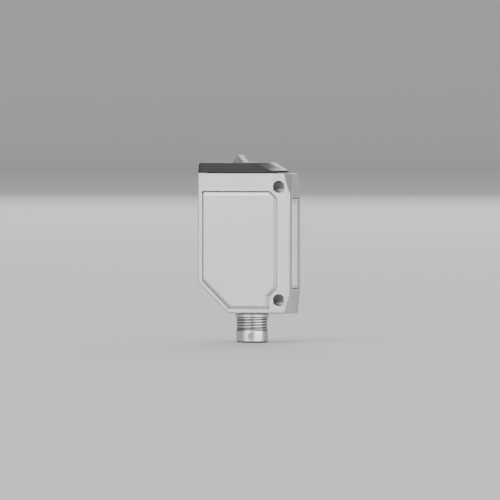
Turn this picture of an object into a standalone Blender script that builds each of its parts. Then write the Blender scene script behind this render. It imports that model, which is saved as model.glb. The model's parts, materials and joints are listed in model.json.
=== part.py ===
"""Through-beam photoelectric sensor, transmitter half, in a flat die-cast housing with an M12 plug.

The world origin is the point midway between the two mounting holes on the mounting face, which is the
+Y side of the housing. The light leaves along +X, the plug points down and the signal prism stands on
top. Everything is drawn about the housing's middle plane and hangs from one empty, the sensor frame.
"""
import math

import bmesh
import bpy
from mathutils import Matrix, Vector

MM = 0.001

# Clearance that two pieces keep where one seats on, or passes through, the other
SEAT_GAP = 0.3 * MM
# How far a cutter runs past the face that it opens
OVERCUT = 1.0 * MM

# Housing: the casting's sizes, with its depths measured from the line of the mounting holes
BODY_THICKNESS = 16.0 * MM
BODY_HEIGHT = 50.4 * MM
REAR_DEPTH = 30.0 * MM
FRONT_DEPTH = 4.3 * MM
HOLE_END_MARGIN = 4.8 * MM
HOLE_DIAMETER = 4.2 * MM
HOLE_CHAMFER = 0.2 * MM
HEEL_CHAMFER_LENGTH = 11.2 * MM
HEEL_CHAMFER_HEIGHT = 11.2 * MM
HEEL_CORNER_RADIUS = 1.0 * MM
OUTER_EDGE_RADIUS = 0.5 * MM
FRONT_EDGE_RADIUS = 1.0 * MM
BACK_WALL = 1.6 * MM

# Facets that cut the front corners above and below the window
FACET_SIDE_WIDTH = 2.3 * MM
FACET_FRONT_WIDTH = 4.2 * MM

# Front window, its gasket and the light's way through the front wall
WINDOW_WIDTH = 9.6 * MM
WINDOW_END_MARGIN = 8.8 * MM
WINDOW_THICKNESS = 1.5 * MM
WINDOW_END_LENGTH = 1.5 * MM
WINDOW_SINK = 0.25 * MM
WINDOW_SETBACK = 0.1 * MM
WINDOW_CORNER_RADIUS = 0.6 * MM
WINDOW_GASKET_THICKNESS = 0.5 * MM
WINDOW_GASKET_WIDTH = 1.7 * MM
WINDOW_END_SEAT = 4.5 * MM

# Side cover: the opening that it closes, its chamfered plate and its gasket
COVER_RIM_WALL = 1.45 * MM
COVER_TOP_MARGIN = 6.45 * MM
COVER_FRONT_MARGIN = 0.7 * MM
COVER_CORNER_CUT = 2.6 * MM
COVER_CORNER_RADIUS = 0.8 * MM
HOLE_WALL = 1.6 * MM
NOTCH_RISE = 4.2 * MM
COVER_BEVEL = 1.15 * MM
COVER_BEVEL_DEPTH = 0.55 * MM
COVER_LAND = 1.1 * MM
COVER_MOUTH_CHAMFER = 0.25 * MM
COVER_SETBACK = 0.05 * MM
COVER_GASKET_THICKNESS = 0.4 * MM
LEDGE_WIDTH = 0.9 * MM

# Top cap: its dark shell, its sloping nose, and the opening that it plugs
CAP_HEIGHT = 4.0 * MM
CAP_FRONT_SETBACK = 2.9 * MM
CAP_WALL = 1.4 * MM
CAP_REAR_RADIUS = 1.0 * MM
CAP_REAR_SLANT = 0.3 * MM
NOSE_BULGE = 2.5 * MM
NOSE_SIDE_LENGTH = 7.3 * MM
NOSE_MIDDLE_LENGTH = 5.0 * MM
NOSE_LIP = 0.8 * MM
NOSE_HOLLOWNESS = 1.8
OPENING_SIDE_RIM = 2.0 * MM
OPENING_REAR_RIM = 2.6 * MM
CAP_PLUG_DEPTH = 2.0 * MM
CAP_PLUG_WALL = 1.0 * MM
CAP_GASKET_WIDTH = 0.6 * MM
CAP_GASKET_THICKNESS = 0.7 * MM

# Signal prism, a roof-shaped light guide that stands through the cap
PRISM_CENTRE = -16.0 * MM
PRISM_BASE = 4.3 * MM
PRISM_LENGTH = 8.0 * MM
PRISM_HEIGHT = 2.75 * MM
PRISM_FLANGE_OVERHANG = 1.0 * MM
PRISM_FLANGE_THICKNESS = 0.8 * MM
PRISM_STEM_WIDTH = 2.6 * MM

# Optics, centred on the window
LENS_HEIGHT = 12.0 * MM
LENS_RIM = 1.2 * MM
LENS_RADIUS = 12.0 * MM
LENS_SEAT_WIDTH = 0.6 * MM
HOLDER_LENGTH = 12.0 * MM
HOLDER_WALL = 1.1 * MM
HOLDER_REAR_OPENING = 3.0 * MM
EMITTER_BASE = 3.4 * MM
EMITTER_THICKNESS = 0.8 * MM
EMITTER_DOME_RADIUS = 1.1 * MM
EMITTER_BOARD_THICKNESS = 0.8 * MM
EMITTER_BOARD_HEIGHT = 10.0 * MM

# Main board and what is soldered on it: lengths along X, Z and then how far each stands off the board
BOARD_THICKNESS = 1.0 * MM
BOARD_MARGIN = 0.5 * MM
BOARD_PAD_HEIGHT = 0.6 * MM
BOARD_PAD_DIAMETER = 2.4 * MM
BOARD_PAD_INSET = 2.5 * MM
TONGUE_WIDTH = 8.0 * MM
PART_SPACING = 0.9 * MM
CONTROLLER_SIZE = (5.0 * MM, 5.0 * MM, 0.9 * MM)
REGULATOR_SIZE = (4.4 * MM, 3.4 * MM, 1.5 * MM)
TRANSISTOR_SIZE = (2.9 * MM, 1.6 * MM, 1.0 * MM)
CAPACITOR_SIZE = (3.5 * MM, 2.8 * MM, 1.9 * MM)
INDICATOR_SIZE = (2.0 * MM, 1.4 * MM, 1.6 * MM)
CHOKE_DIAMETER = 4.4 * MM
CHOKE_HEIGHT = 2.6 * MM
CHOKE_FLANGE = 0.6 * MM
CHOKE_CORE_DIAMETER = 3.0 * MM

# M12 plug: the threaded length is drawn plain, at the crest of its thread
PLUG_CENTRE = -11.75 * MM
COLLAR_DIAMETER = 12.4 * MM
COLLAR_LENGTH = 1.1 * MM
THREAD_DIAMETER = 11.9 * MM
THREAD_LENGTH = 4.75 * MM
PILOT_DIAMETER = 11.6 * MM
PILOT_LENGTH = 4.25 * MM
SOCKET_DIAMETER = 9.2 * MM
SHANK_DIAMETER = 9.2 * MM
SHANK_BORE = 8.2 * MM
SHANK_OVERHANG = 0.8 * MM
END_CHAMFER = 0.35 * MM
CARRIER_SETBACK = 6.6 * MM
CARRIER_THICKNESS = 2.0 * MM
CARRIER_OVERHANG = 0.5 * MM
CODING_RIB_WIDTH = 1.3 * MM
CODING_RIB_DEPTH = 0.9 * MM
CODING_RIB_SETBACK = 1.6 * MM
PIN_CIRCLE = 5.0 * MM
PIN_DIAMETER = 1.0 * MM
PIN_TIP = 0.25 * MM
PIN_SETBACK = 1.3 * MM
PIN_CLEARANCE = 0.2 * MM
PIN_COUNT = 4
SEAL_THICKNESS = 0.6 * MM
SEAL_WIDTH = 0.7 * MM
PLUG_BOARD_THICKNESS = 0.8 * MM
PLUG_BOARD_MARGIN = 1.8 * MM

# Smoothness of round forms
ROUND_STEPS = 48
SMALL_ROUND_STEPS = 16
CORNER_STEPS = 4
EDGE_STEPS = 5
NOSE_STEPS = 10
ACROSS_STEPS = 10

# Places that follow from the sizes above
HALF_THICKNESS = BODY_THICKNESS / 2
TOP = BODY_HEIGHT / 2
BOTTOM = -BODY_HEIGHT / 2
REAR = -REAR_DEPTH
FRONT = FRONT_DEPTH
NEAR_FACE = -HALF_THICKNESS
HALF_SPACING = TOP - HOLE_END_MARGIN
HOLE_MARGIN = HOLE_DIAMETER / 2 + HOLE_WALL
RECESS_WIDTH = WINDOW_WIDTH + 2 * SEAT_GAP
RECESS_HEIGHT = BODY_HEIGHT - 2 * WINDOW_END_MARGIN
WINDOW_HEIGHT = RECESS_HEIGHT - 2 * SEAT_GAP
WINDOW_FACE = FRONT - WINDOW_SETBACK
WINDOW_BACK = WINDOW_FACE - WINDOW_THICKNESS
WINDOW_GASKET_FACE = WINDOW_BACK - SEAT_GAP
WINDOW_GASKET_BACK = WINDOW_GASKET_FACE - WINDOW_GASKET_THICKNESS
RECESS_FLOOR = WINDOW_GASKET_BACK - SEAT_GAP
APERTURE_WIDTH = WINDOW_WIDTH - 2 * WINDOW_GASKET_WIDTH
APERTURE_HEIGHT = RECESS_HEIGHT - 2 * WINDOW_END_SEAT
LENS_WIDTH = APERTURE_WIDTH - 2 * SEAT_GAP
COVER_FACE = NEAR_FACE + COVER_SETBACK
COVER_EDGE_FACE = COVER_FACE + COVER_BEVEL_DEPTH
COVER_BACK = COVER_EDGE_FACE + COVER_LAND
COVER_GASKET_FACE = COVER_BACK + SEAT_GAP
COVER_GASKET_BACK = COVER_GASKET_FACE + COVER_GASKET_THICKNESS
LEDGE_FACE = COVER_GASKET_BACK + SEAT_GAP
CAVITY_FAR_WALL = HALF_THICKNESS - BACK_WALL
CAVITY_FRONT = -COVER_FRONT_MARGIN - LEDGE_WIDTH
CAVITY_TOP = TOP - COVER_TOP_MARGIN - LEDGE_WIDTH
CAVITY_FLOOR = BOTTOM + COVER_RIM_WALL + LEDGE_WIDTH
OPENING_REAR = REAR + OPENING_REAR_RIM
OPENING_FRONT = -HOLE_MARGIN
OPENING_HALF_WIDTH = HALF_THICKNESS - OPENING_SIDE_RIM
CAP_BASE = TOP + SEAT_GAP
CAP_TOP = TOP + CAP_HEIGHT
CAP_CEILING = CAP_TOP - CAP_WALL
CAP_FRONT = FRONT - CAP_FRONT_SETBACK
CAP_PLUG_BOTTOM = TOP - CAP_PLUG_DEPTH
CAP_REBATE = CAP_GASKET_WIDTH + 2 * SEAT_GAP
CAP_GASKET_TOP = CAP_BASE - SEAT_GAP
CAP_GASKET_BOTTOM = CAP_GASKET_TOP - CAP_GASKET_THICKNESS
BOARD_BACK = CAVITY_FAR_WALL - BOARD_PAD_HEIGHT - SEAT_GAP
BOARD_FACE = BOARD_BACK - BOARD_THICKNESS
PART_SEAT = BOARD_FACE - SEAT_GAP
BOARD_REAR = REAR + COVER_RIM_WALL + LEDGE_WIDTH + BOARD_MARGIN
BOARD_FRONT = CAVITY_FRONT - BOARD_MARGIN
BOARD_TOP = CAVITY_TOP - BOARD_MARGIN
TONGUE_TOP = CAP_PLUG_BOTTOM - 2 * SEAT_GAP
HOLDER_FRONT = CAVITY_FRONT - SEAT_GAP
HOLDER_REAR = HOLDER_FRONT - HOLDER_LENGTH
HOLDER_NEAR = COVER_BACK + SEAT_GAP
LENS_BACK = HOLDER_FRONT - LENS_RIM
EMITTER_FACE = HOLDER_REAR - SEAT_GAP
EMITTER_BACK = EMITTER_FACE - EMITTER_THICKNESS
EMITTER_BOARD_FACE = EMITTER_BACK - SEAT_GAP
EMITTER_BOARD_BACK = EMITTER_BOARD_FACE - EMITTER_BOARD_THICKNESS

# The plug's own heights are measured from the housing's bottom face
COLLAR_TOP = -SEAT_GAP
COLLAR_BOTTOM = COLLAR_TOP - COLLAR_LENGTH
THREAD_BOTTOM = COLLAR_BOTTOM - THREAD_LENGTH
PLUG_END = THREAD_BOTTOM - PILOT_LENGTH
CARRIER_BOTTOM = PLUG_END + CARRIER_SETBACK
CARRIER_TOP = CARRIER_BOTTOM + CARRIER_THICKNESS
SOCKET_FLOOR = CARRIER_TOP + SEAT_GAP
SEAL_BOTTOM = COLLAR_TOP + SEAT_GAP
SEAL_TOP = SEAL_BOTTOM + SEAL_THICKNESS
SEAL_INNER_RADIUS = SHANK_DIAMETER / 2 + SEAT_GAP
SEAL_OUTER_RADIUS = SEAL_INNER_RADIUS + SEAL_WIDTH
SHANK_TOP = CAVITY_FLOOR - BOTTOM + SHANK_OVERHANG
CARRIER_STEM_TOP = SHANK_TOP + CARRIER_OVERHANG
PLUG_BOARD_BOTTOM = CARRIER_STEM_TOP + SEAT_GAP


def clear_scene():
    for old in list(bpy.data.objects):
        bpy.data.objects.remove(old, do_unlink=True)


def make_material(name, colour, roughness, metallic=0.0, alpha=1.0):
    material = bpy.data.materials.new(name)
    material.use_nodes = True
    shader = material.node_tree.nodes["Principled BSDF"]
    shader.inputs["Base Color"].default_value = (*colour, 1.0)
    shader.inputs["Roughness"].default_value = roughness
    shader.inputs["Metallic"].default_value = metallic
    shader.inputs["Alpha"].default_value = alpha
    return material


def make_empty(name, location, parent=None):
    empty = bpy.data.objects.new(name, None)
    empty.location = location
    empty.parent = parent
    bpy.context.scene.collection.objects.link(empty)
    return empty


def finish_mesh(name, drawn, parent, material=None, smooth=False):
    """Turns a bmesh into a named object that hangs from parent, with its faces pointing out."""
    bmesh.ops.remove_doubles(drawn, verts=drawn.verts, dist=1e-8)
    bmesh.ops.recalc_face_normals(drawn, faces=drawn.faces)
    mesh = bpy.data.meshes.new(name)
    drawn.to_mesh(mesh)
    drawn.free()
    if smooth:
        mesh.shade_smooth()
        mesh.set_sharp_from_angle(angle=math.radians(35))
    if material is not None:
        mesh.materials.append(material)
    piece = bpy.data.objects.new(name, mesh)
    piece.parent = parent
    bpy.context.scene.collection.objects.link(piece)
    return piece


def loft(name, rings, parent, material=None, smooth=False, closed=False):
    """Skins closed rings that all have the same number of points. A closed loft runs back to its first
    ring, as a gasket or a sleeve does, and an open one is capped at both ends."""
    drawn = bmesh.new()
    made = [[drawn.verts.new(point) for point in ring] for ring in rings]
    pairs = list(zip(made, made[1:]))
    if closed:
        pairs.append((made[-1], made[0]))
    count = len(made[0])
    for first, second in pairs:
        for i in range(count):
            j = (i + 1) % count
            drawn.faces.new((first[i], first[j], second[j], second[i]))
    if not closed:
        drawn.faces.new(made[0])
        drawn.faces.new(made[-1])
    return finish_mesh(name, drawn, parent, material, smooth)


def in_y(outline, y):
    """An outline of X and Z, laid in the plane at y."""
    return [(x, y, z) for x, z in outline]


def in_x(outline, x):
    """An outline of Y and Z, laid in the plane at x."""
    return [(x, y, z) for y, z in outline]


def in_z(outline, z):
    """An outline of X and Y, laid in the plane at z."""
    return [(x, y, z) for x, y in outline]


def box(name, x_range, y_range, z_range, parent, material=None):
    outline = rectangle(x_range, z_range)
    return loft(name, [in_y(outline, y) for y in y_range], parent, material)


def turned(name, profile, parent, material=None, steps=ROUND_STEPS, bored=False):
    """Spins a profile of (radius, height) points about Z. A bored piece's profile closes on itself, and
    a solid one runs from axis to axis."""
    drawn = bmesh.new()
    points = [drawn.verts.new((radius, 0.0, height)) for radius, height in profile]
    edges = [drawn.edges.new(pair) for pair in zip(points, points[1:])]
    if bored:
        edges.append(drawn.edges.new((points[-1], points[0])))
    bmesh.ops.spin(
        drawn,
        geom=points + edges,
        cent=(0, 0, 0),
        axis=(0, 0, 1),
        angle=2 * math.pi,
        steps=steps,
        use_merge=True,
    )
    return finish_mesh(name, drawn, parent, material, smooth=True)


def rectangle(across, up):
    """A counter-clockwise rectangle between two (low, high) ranges."""
    return [(across[0], up[0]), (across[1], up[0]), (across[1], up[1]), (across[0], up[1])]


def about(centre, size):
    return (centre - size / 2, centre + size / 2)


def per_item(value, count):
    return list(value) if isinstance(value, (list, tuple)) else [value] * count


def inset(outline, distance):
    """Moves the edges of a counter-clockwise outline inwards, all alike or each by its own distance. The
    first distance belongs to the edge that leaves the first point. A negative distance moves outwards."""
    count = len(outline)
    distances = per_item(distance, count)
    moved = []
    for i in range(count):
        before, here, after = (Vector(outline[k % count]) for k in (i - 1, i, i + 1))
        along_in = (here - before).normalized()
        along_out = (after - here).normalized()
        normal_in = Vector((-along_in.y, along_in.x))
        normal_out = Vector((-along_out.y, along_out.x))
        turn = Matrix((normal_in, normal_out))
        shift = turn.inverted() @ Vector((distances[i - 1], distances[i]))
        moved.append(tuple(here + shift))
    return moved


def rounded(outline, radius, steps=CORNER_STEPS):
    """Replaces corners of an outline with arcs, all alike or each with its own radius. A corner with no
    radius stays sharp."""
    count = len(outline)
    radii = per_item(radius, count)
    drawn = []
    for i in range(count):
        if not radii[i]:
            drawn.append(outline[i])
            continue
        before, here, after = (Vector(outline[k % count]) for k in (i - 1, i, i + 1))
        to_before = (before - here).normalized()
        to_after = (after - here).normalized()
        half_angle = to_before.angle(to_after) / 2
        centre = here + (to_before + to_after).normalized() * (radii[i] / math.sin(half_angle))
        start = here + to_before * (radii[i] / math.tan(half_angle)) - centre
        end = here + to_after * (radii[i] / math.tan(half_angle)) - centre
        sweep = math.atan2(start.x * end.y - start.y * end.x, start.dot(end))
        for step in range(steps + 1):
            drawn.append(tuple(centre + Matrix.Rotation(sweep * step / steps, 2) @ start))
    return drawn


def as_guide(piece):
    piece.hide_render = True
    piece.display_type = "WIRE"
    return piece


def combine(target, other, operation):
    modifier = target.modifiers.new(other.name, "BOOLEAN")
    modifier.operation = operation
    modifier.object = as_guide(other)


def cut(target, *cutters):
    for cutter in cutters:
        combine(target, cutter, "DIFFERENCE")


def join(target, *additions):
    for addition in additions:
        combine(target, addition, "UNION")


def edge_inset(radius, y):
    """How far a rounded side edge of this radius has drawn in at y."""
    reach = max(abs(y) - (HALF_THICKNESS - radius), 0.0)
    return radius - math.sqrt(max(radius**2 - reach**2, 0.0))


def side_edge_levels():
    """The places in Y, outwards from the flat of the front face, where the rounded side edge is drawn."""
    flat = HALF_THICKNESS - FRONT_EDGE_RADIUS
    steps = range(EDGE_STEPS + 1)
    return [flat + FRONT_EDGE_RADIUS * math.sin(math.pi / 2 * step / EDGE_STEPS) for step in steps]


def body_section(y):
    """The housing's side outline at y, in X and Z. Its top edge never draws in, because the cap meets it."""
    side = edge_inset(OUTER_EDGE_RADIUS, y)
    front = edge_inset(FRONT_EDGE_RADIUS, y)
    corners = [
        (REAR, TOP),
        (REAR, BOTTOM + HEEL_CHAMFER_HEIGHT),
        (REAR + HEEL_CHAMFER_LENGTH, BOTTOM),
        (FRONT, BOTTOM),
        (FRONT, TOP),
    ]
    outline = inset(corners, [side, side, side, front, 0.0])
    return rounded(outline, [0.0, HEEL_CORNER_RADIUS, HEEL_CORNER_RADIUS, 0.0, 0.0])


def cover_outline():
    """The opening for the side cover, in X and Z. It runs along the housing's rear, heel and bottom, and
    steps round both mounting holes."""
    rear = REAR + COVER_RIM_WALL
    front = -COVER_FRONT_MARGIN
    top = TOP - COVER_TOP_MARGIN
    bottom = BOTTOM + COVER_RIM_WALL
    notch = -HOLE_MARGIN
    notch_top = -HALF_SPACING + NOTCH_RISE
    heel = Vector((HEEL_CHAMFER_LENGTH, -HEEL_CHAMFER_HEIGHT)).normalized()
    heel_start = Vector((REAR, BOTTOM + HEEL_CHAMFER_HEIGHT))
    wall_start = heel_start + Vector((-heel.y, heel.x)) * COVER_RIM_WALL
    heel_top = wall_start + heel * ((rear - wall_start.x) / heel.x)
    heel_bottom = wall_start + heel * ((bottom - wall_start.y) / heel.y)
    return [
        (rear, heel_top.y),
        (heel_bottom.x, bottom),
        (notch, bottom),
        (notch, notch_top - (front - notch)),
        (front, notch_top),
        (front, top - COVER_CORNER_CUT),
        (front - COVER_CORNER_CUT, top),
        (rear, top),
    ]


def cover_ring(distance, y):
    """The cover's opening drawn in by a distance. Its corners tighten as it shrinks."""
    radius = max(COVER_CORNER_RADIUS - distance / 2, COVER_CORNER_RADIUS / 4)
    return in_y(rounded(inset(cover_outline(), distance), radius), y)


def corner_facet(side, end, parent):
    """A wedge that takes off one front corner. Its plane starts on the front edge beside the window's end
    and widens to the two facet widths at the housing's end."""
    tip = Vector((FRONT, side * HALF_THICKNESS, end * RECESS_HEIGHT / 2))
    on_side = Vector((FRONT - FACET_SIDE_WIDTH, side * HALF_THICKNESS, end * TOP))
    on_front = Vector((FRONT, side * (HALF_THICKNESS - FACET_FRONT_WIDTH), end * TOP))
    outward = (on_side - tip).cross(on_front - tip).normalized()
    if outward.x < 0:
        outward.negate()
    centre = (tip + on_side + on_front) / 3
    face = [centre + (corner - centre) * 2 for corner in (tip, on_side, on_front)]
    thickness = outward * (FACET_SIDE_WIDTH + FACET_FRONT_WIDTH)
    name = f"facet_{'near' if side < 0 else 'far'}_{'bottom' if end < 0 else 'top'}"
    return loft(name, [face, [corner + thickness for corner in face]], parent)


def mounting_hole(end, parent):
    """A through hole along Y, with a small chamfer where it opens on each side face."""
    radius = HOLE_DIAMETER / 2
    flare = radius + HOLE_CHAMFER + OVERCUT
    half = HALF_THICKNESS + OVERCUT
    land = HALF_THICKNESS - HOLE_CHAMFER
    profile = [(0, -half), (flare, -half), (radius, -land), (radius, land), (flare, half), (0, half)]
    hole = turned(f"mounting_hole_{'bottom' if end < 0 else 'top'}", profile, parent)
    hole.rotation_euler.x = math.pi / 2
    hole.location.z = end * HALF_SPACING
    return hole


def board_pads(parent):
    """Four low cast pads on the far wall, which carry the main board."""
    rear = BOARD_REAR + BOARD_PAD_INSET
    front = BOARD_FRONT - BOARD_PAD_INSET
    top = BOARD_TOP - BOARD_PAD_INSET
    low = cover_outline()[0][1] + LEDGE_WIDTH + BOARD_PAD_INSET
    radius = BOARD_PAD_DIAMETER / 2
    height = BOARD_PAD_HEIGHT
    root = BACK_WALL / 2
    profile = [(0, -root), (radius, -root), (radius, height), (0, height)]
    pads = []
    for number, (x, z) in enumerate([(rear, top), (front, top), (rear, low), (front, low)], 1):
        pad = turned(f"board_pad_{number}", profile, parent, steps=SMALL_ROUND_STEPS)
        pad.rotation_euler.x = math.pi / 2
        pad.location = (x, CAVITY_FAR_WALL, z)
        pads.append(pad)
    return pads


def make_housing(parent, plug_frame):
    """The die-cast shell: a rounded body with a shouldered side opening, cut for window, cap and plug."""
    levels = side_edge_levels()
    levels = [-y for y in reversed(levels)] + levels
    material = make_material("satin_nickel_casting", (0.60, 0.60, 0.61), 0.42, metallic=0.9)
    housing = loft("housing", [in_y(body_section(y), y) for y in levels], parent, material, smooth=True)

    for side in (-1, 1):
        for end in (-1, 1):
            cut(housing, corner_facet(side, end, parent))

    mouth = cover_ring(-COVER_MOUTH_CHAMFER - OVERCUT, NEAR_FACE - OVERCUT)
    seat_rings = [mouth, cover_ring(0, NEAR_FACE + COVER_MOUTH_CHAMFER), cover_ring(0, LEDGE_FACE)]
    seat = loft("cover_seat", seat_rings, parent)
    cavity_depth = (LEDGE_FACE - OVERCUT, CAVITY_FAR_WALL)
    cavity = loft("cavity", [cover_ring(LEDGE_WIDTH, y) for y in cavity_depth], parent)
    cut(housing, seat, cavity)

    opening_x = (OPENING_REAR, OPENING_FRONT)
    opening_y = (-OPENING_HALF_WIDTH, OPENING_HALF_WIDTH)
    opening = box("cap_opening", opening_x, opening_y, (CAVITY_TOP - OVERCUT, TOP + OVERCUT), parent)
    rebate_x = (OPENING_REAR - CAP_REBATE, OPENING_FRONT + CAP_REBATE)
    rebate_y = (-OPENING_HALF_WIDTH - CAP_REBATE, OPENING_HALF_WIDTH + CAP_REBATE)
    rebate_floor = CAP_GASKET_BOTTOM - SEAT_GAP
    rebate = box("cap_rebate", rebate_x, rebate_y, (rebate_floor, TOP + OVERCUT), parent)
    cut(housing, opening, rebate)

    recess_ends = (RECESS_FLOOR, FRONT + OVERCUT)
    recess_outline = rectangle(about(0, RECESS_WIDTH), about(0, RECESS_HEIGHT))
    recess_outline = rounded(recess_outline, WINDOW_CORNER_RADIUS + SEAT_GAP)
    recess = loft("window_recess", [in_x(recess_outline, x) for x in recess_ends], parent)
    aperture_x = (CAVITY_FRONT - OVERCUT, RECESS_FLOOR + OVERCUT)
    aperture = box("aperture", aperture_x, about(0, APERTURE_WIDTH), about(0, APERTURE_HEIGHT), parent)
    cut(housing, recess, aperture)

    cut(housing, mounting_hole(-1, parent), mounting_hole(1, parent))

    seal_room = SEAL_OUTER_RADIUS + SEAT_GAP
    bore = SHANK_DIAMETER / 2 + SEAT_GAP
    ceiling = SEAL_TOP + SEAT_GAP
    inside = CAVITY_FLOOR - BOTTOM + OVERCUT
    steps = [(0, -OVERCUT), (seal_room, -OVERCUT), (seal_room, ceiling), (bore, ceiling), (bore, inside)]
    cut(housing, turned("plug_bore", steps + [(0, inside)], plug_frame))

    join(housing, *board_pads(parent))
    return housing


def make_side_cover(parent):
    """A plate with a broad, shallow bevel all round, whose face lies level with the side face."""
    rings = [
        cover_ring(SEAT_GAP, COVER_BACK),
        cover_ring(SEAT_GAP, COVER_EDGE_FACE),
        cover_ring(SEAT_GAP + COVER_BEVEL, COVER_FACE),
    ]
    material = make_material("satin_nickel_cover", (0.58, 0.57, 0.59), 0.38, metallic=0.9)
    return loft("side_cover", rings, parent, material)


def make_cover_gasket(parent):
    near, far = COVER_GASKET_FACE, COVER_GASKET_BACK
    levels = [(SEAT_GAP, near), (SEAT_GAP, far), (LEDGE_WIDTH, far), (LEDGE_WIDTH, near)]
    material = make_material("cover_gasket_rubber", (0.03, 0.03, 0.03), 0.8)
    rings = [cover_ring(distance, y) for distance, y in levels]
    return loft("cover_gasket", rings, parent, material, closed=True)


def make_front_window(parent):
    """A thick pane whose face is sunk between two low pads at its ends."""
    outline = rounded(rectangle(about(0, WINDOW_WIDTH), about(0, WINDOW_HEIGHT)), WINDOW_CORNER_RADIUS)
    material = make_material("front_window_plastic", (0.62, 0.62, 0.63), 0.15, alpha=0.9)
    window = loft("front_window", [in_x(outline, x) for x in (WINDOW_BACK, WINDOW_FACE)], parent, material)
    sink_x = (WINDOW_FACE - WINDOW_SINK, WINDOW_FACE + OVERCUT)
    sink_y = about(0, WINDOW_WIDTH + OVERCUT)
    sink_z = about(0, WINDOW_HEIGHT - 2 * WINDOW_END_LENGTH)
    cut(window, box("window_sink", sink_x, sink_y, sink_z, parent))
    return window


def make_window_gasket(parent):
    outer = rectangle(about(0, WINDOW_WIDTH), about(0, WINDOW_HEIGHT))
    inner = inset(outer, WINDOW_GASKET_WIDTH)
    front, rear = WINDOW_GASKET_FACE, WINDOW_GASKET_BACK
    rings = [in_x(outer, front), in_x(outer, rear), in_x(inner, rear), in_x(inner, front)]
    material = make_material("window_gasket_rubber", (0.04, 0.04, 0.04), 0.8)
    return loft("window_gasket", rings, parent, material, closed=True)


def make_lens(parent):
    """A plano-convex lens cut to a rectangle. Its dome faces the window."""
    columns, rows = 8, 14
    drawn = bmesh.new()
    corner = math.hypot(LENS_WIDTH / 2, LENS_HEIGHT / 2)
    base = math.sqrt(LENS_RADIUS**2 - corner**2)
    back, dome = [], []
    for row in range(rows + 1):
        z = LENS_HEIGHT * (row / rows - 0.5)
        ys = [LENS_WIDTH * (column / columns - 0.5) for column in range(columns + 1)]
        bulge = [math.sqrt(LENS_RADIUS**2 - y**2 - z**2) - base for y in ys]
        dome.append([drawn.verts.new((HOLDER_FRONT + rise, y, z)) for y, rise in zip(ys, bulge)])
        back.append([drawn.verts.new((LENS_BACK, y, z)) for y in ys])
    for grid in (dome, back):
        for low, high in zip(grid, grid[1:]):
            for i in range(columns):
                drawn.faces.new((low[i], low[i + 1], high[i + 1], high[i]))
    for edge_back, edge_dome in ((back[0], dome[0]), (back[-1], dome[-1])):
        for i in range(columns):
            drawn.faces.new((edge_back[i], edge_back[i + 1], edge_dome[i + 1], edge_dome[i]))
    for i in range(rows):
        for j in (0, -1):
            drawn.faces.new((back[i][j], back[i + 1][j], dome[i + 1][j], dome[i][j]))
    material = make_material("lens_acrylic", (0.9, 0.9, 0.92), 0.05, alpha=0.4)
    return finish_mesh("lens", drawn, parent, material, smooth=True)


def make_lens_holder(parent):
    """A black optics block: a seat for the lens in front, and a funnel that narrows to the emitter."""
    wall = SEAT_GAP + HOLDER_WALL
    outer_front = rectangle((HOLDER_NEAR, PART_SEAT), about(0, LENS_HEIGHT + 2 * wall))
    outer_rear = rectangle((HOLDER_NEAR, PART_SEAT), about(0, HOLDER_REAR_OPENING + 4 * HOLDER_WALL))
    rear_hole = rectangle(about(0, HOLDER_REAR_OPENING), about(0, HOLDER_REAR_OPENING))
    lens_outline = rectangle(about(0, LENS_WIDTH), about(0, LENS_HEIGHT))
    throat = inset(lens_outline, LENS_SEAT_WIDTH)
    seat = inset(lens_outline, -SEAT_GAP)
    seat_floor = LENS_BACK - SEAT_GAP
    rings = [
        in_x(outer_front, HOLDER_FRONT),
        in_x(outer_rear, HOLDER_REAR),
        in_x(rear_hole, HOLDER_REAR),
        in_x(throat, seat_floor),
        in_x(seat, seat_floor),
        in_x(seat, HOLDER_FRONT),
    ]
    material = make_material("lens_holder_plastic", (0.02, 0.02, 0.02), 0.6)
    return loft("lens_holder", rings, parent, material, closed=True)


def make_emitter(parent):
    """The light-emitting diode on its square base, with a dome that looks up the funnel."""
    material = make_material("emitter_epoxy", (0.35, 0.30, 0.45), 0.2)
    square = about(0, EMITTER_BASE)
    emitter = box("emitter_led", (EMITTER_BACK, EMITTER_FACE), square, square, parent, material)
    arc = [math.pi / 2 * step / CORNER_STEPS for step in range(CORNER_STEPS + 1)]
    dome = [(EMITTER_DOME_RADIUS * math.cos(a), EMITTER_DOME_RADIUS * math.sin(a)) for a in arc[:-1]]
    root = -EMITTER_THICKNESS / 2
    profile = [(0, root), (EMITTER_DOME_RADIUS, root), *dome, (0, EMITTER_DOME_RADIUS)]
    bulb = turned("emitter_dome", profile, parent, steps=SMALL_ROUND_STEPS)
    bulb.rotation_euler.y = math.pi / 2
    bulb.location.x = EMITTER_FACE
    join(emitter, bulb)

    board_material = make_material("emitter_board_laminate", (0.03, 0.18, 0.07), 0.5)
    board_x = (EMITTER_BOARD_BACK, EMITTER_BOARD_FACE)
    board_y = (HOLDER_NEAR, PART_SEAT)
    box("emitter_board", board_x, board_y, about(0, EMITTER_BOARD_HEIGHT), parent, board_material)


def make_main_board(parent):
    """The board fills the cavity's outline, clear of the plug's shank, and a tongue reaches up through the
    cap's opening."""
    corners = cover_outline()
    margins = [LEDGE_WIDTH + BOARD_MARGIN] * len(corners)
    margins[1] = SHANK_TOP + SEAT_GAP - COVER_RIM_WALL
    outline = inset(corners, margins)
    tongue_rear, tongue_front = about(PRISM_CENTRE, TONGUE_WIDTH)
    tongue = [(tongue_front, BOARD_TOP), (tongue_front, TONGUE_TOP)]
    tongue += [(tongue_rear, TONGUE_TOP), (tongue_rear, BOARD_TOP)]
    outline = outline[:-1] + tongue + outline[-1:]
    material = make_material("main_board_laminate", (0.02, 0.16, 0.06), 0.5)
    return loft("main_board", [in_y(outline, y) for y in (BOARD_FACE, BOARD_BACK)], parent, material)


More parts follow.
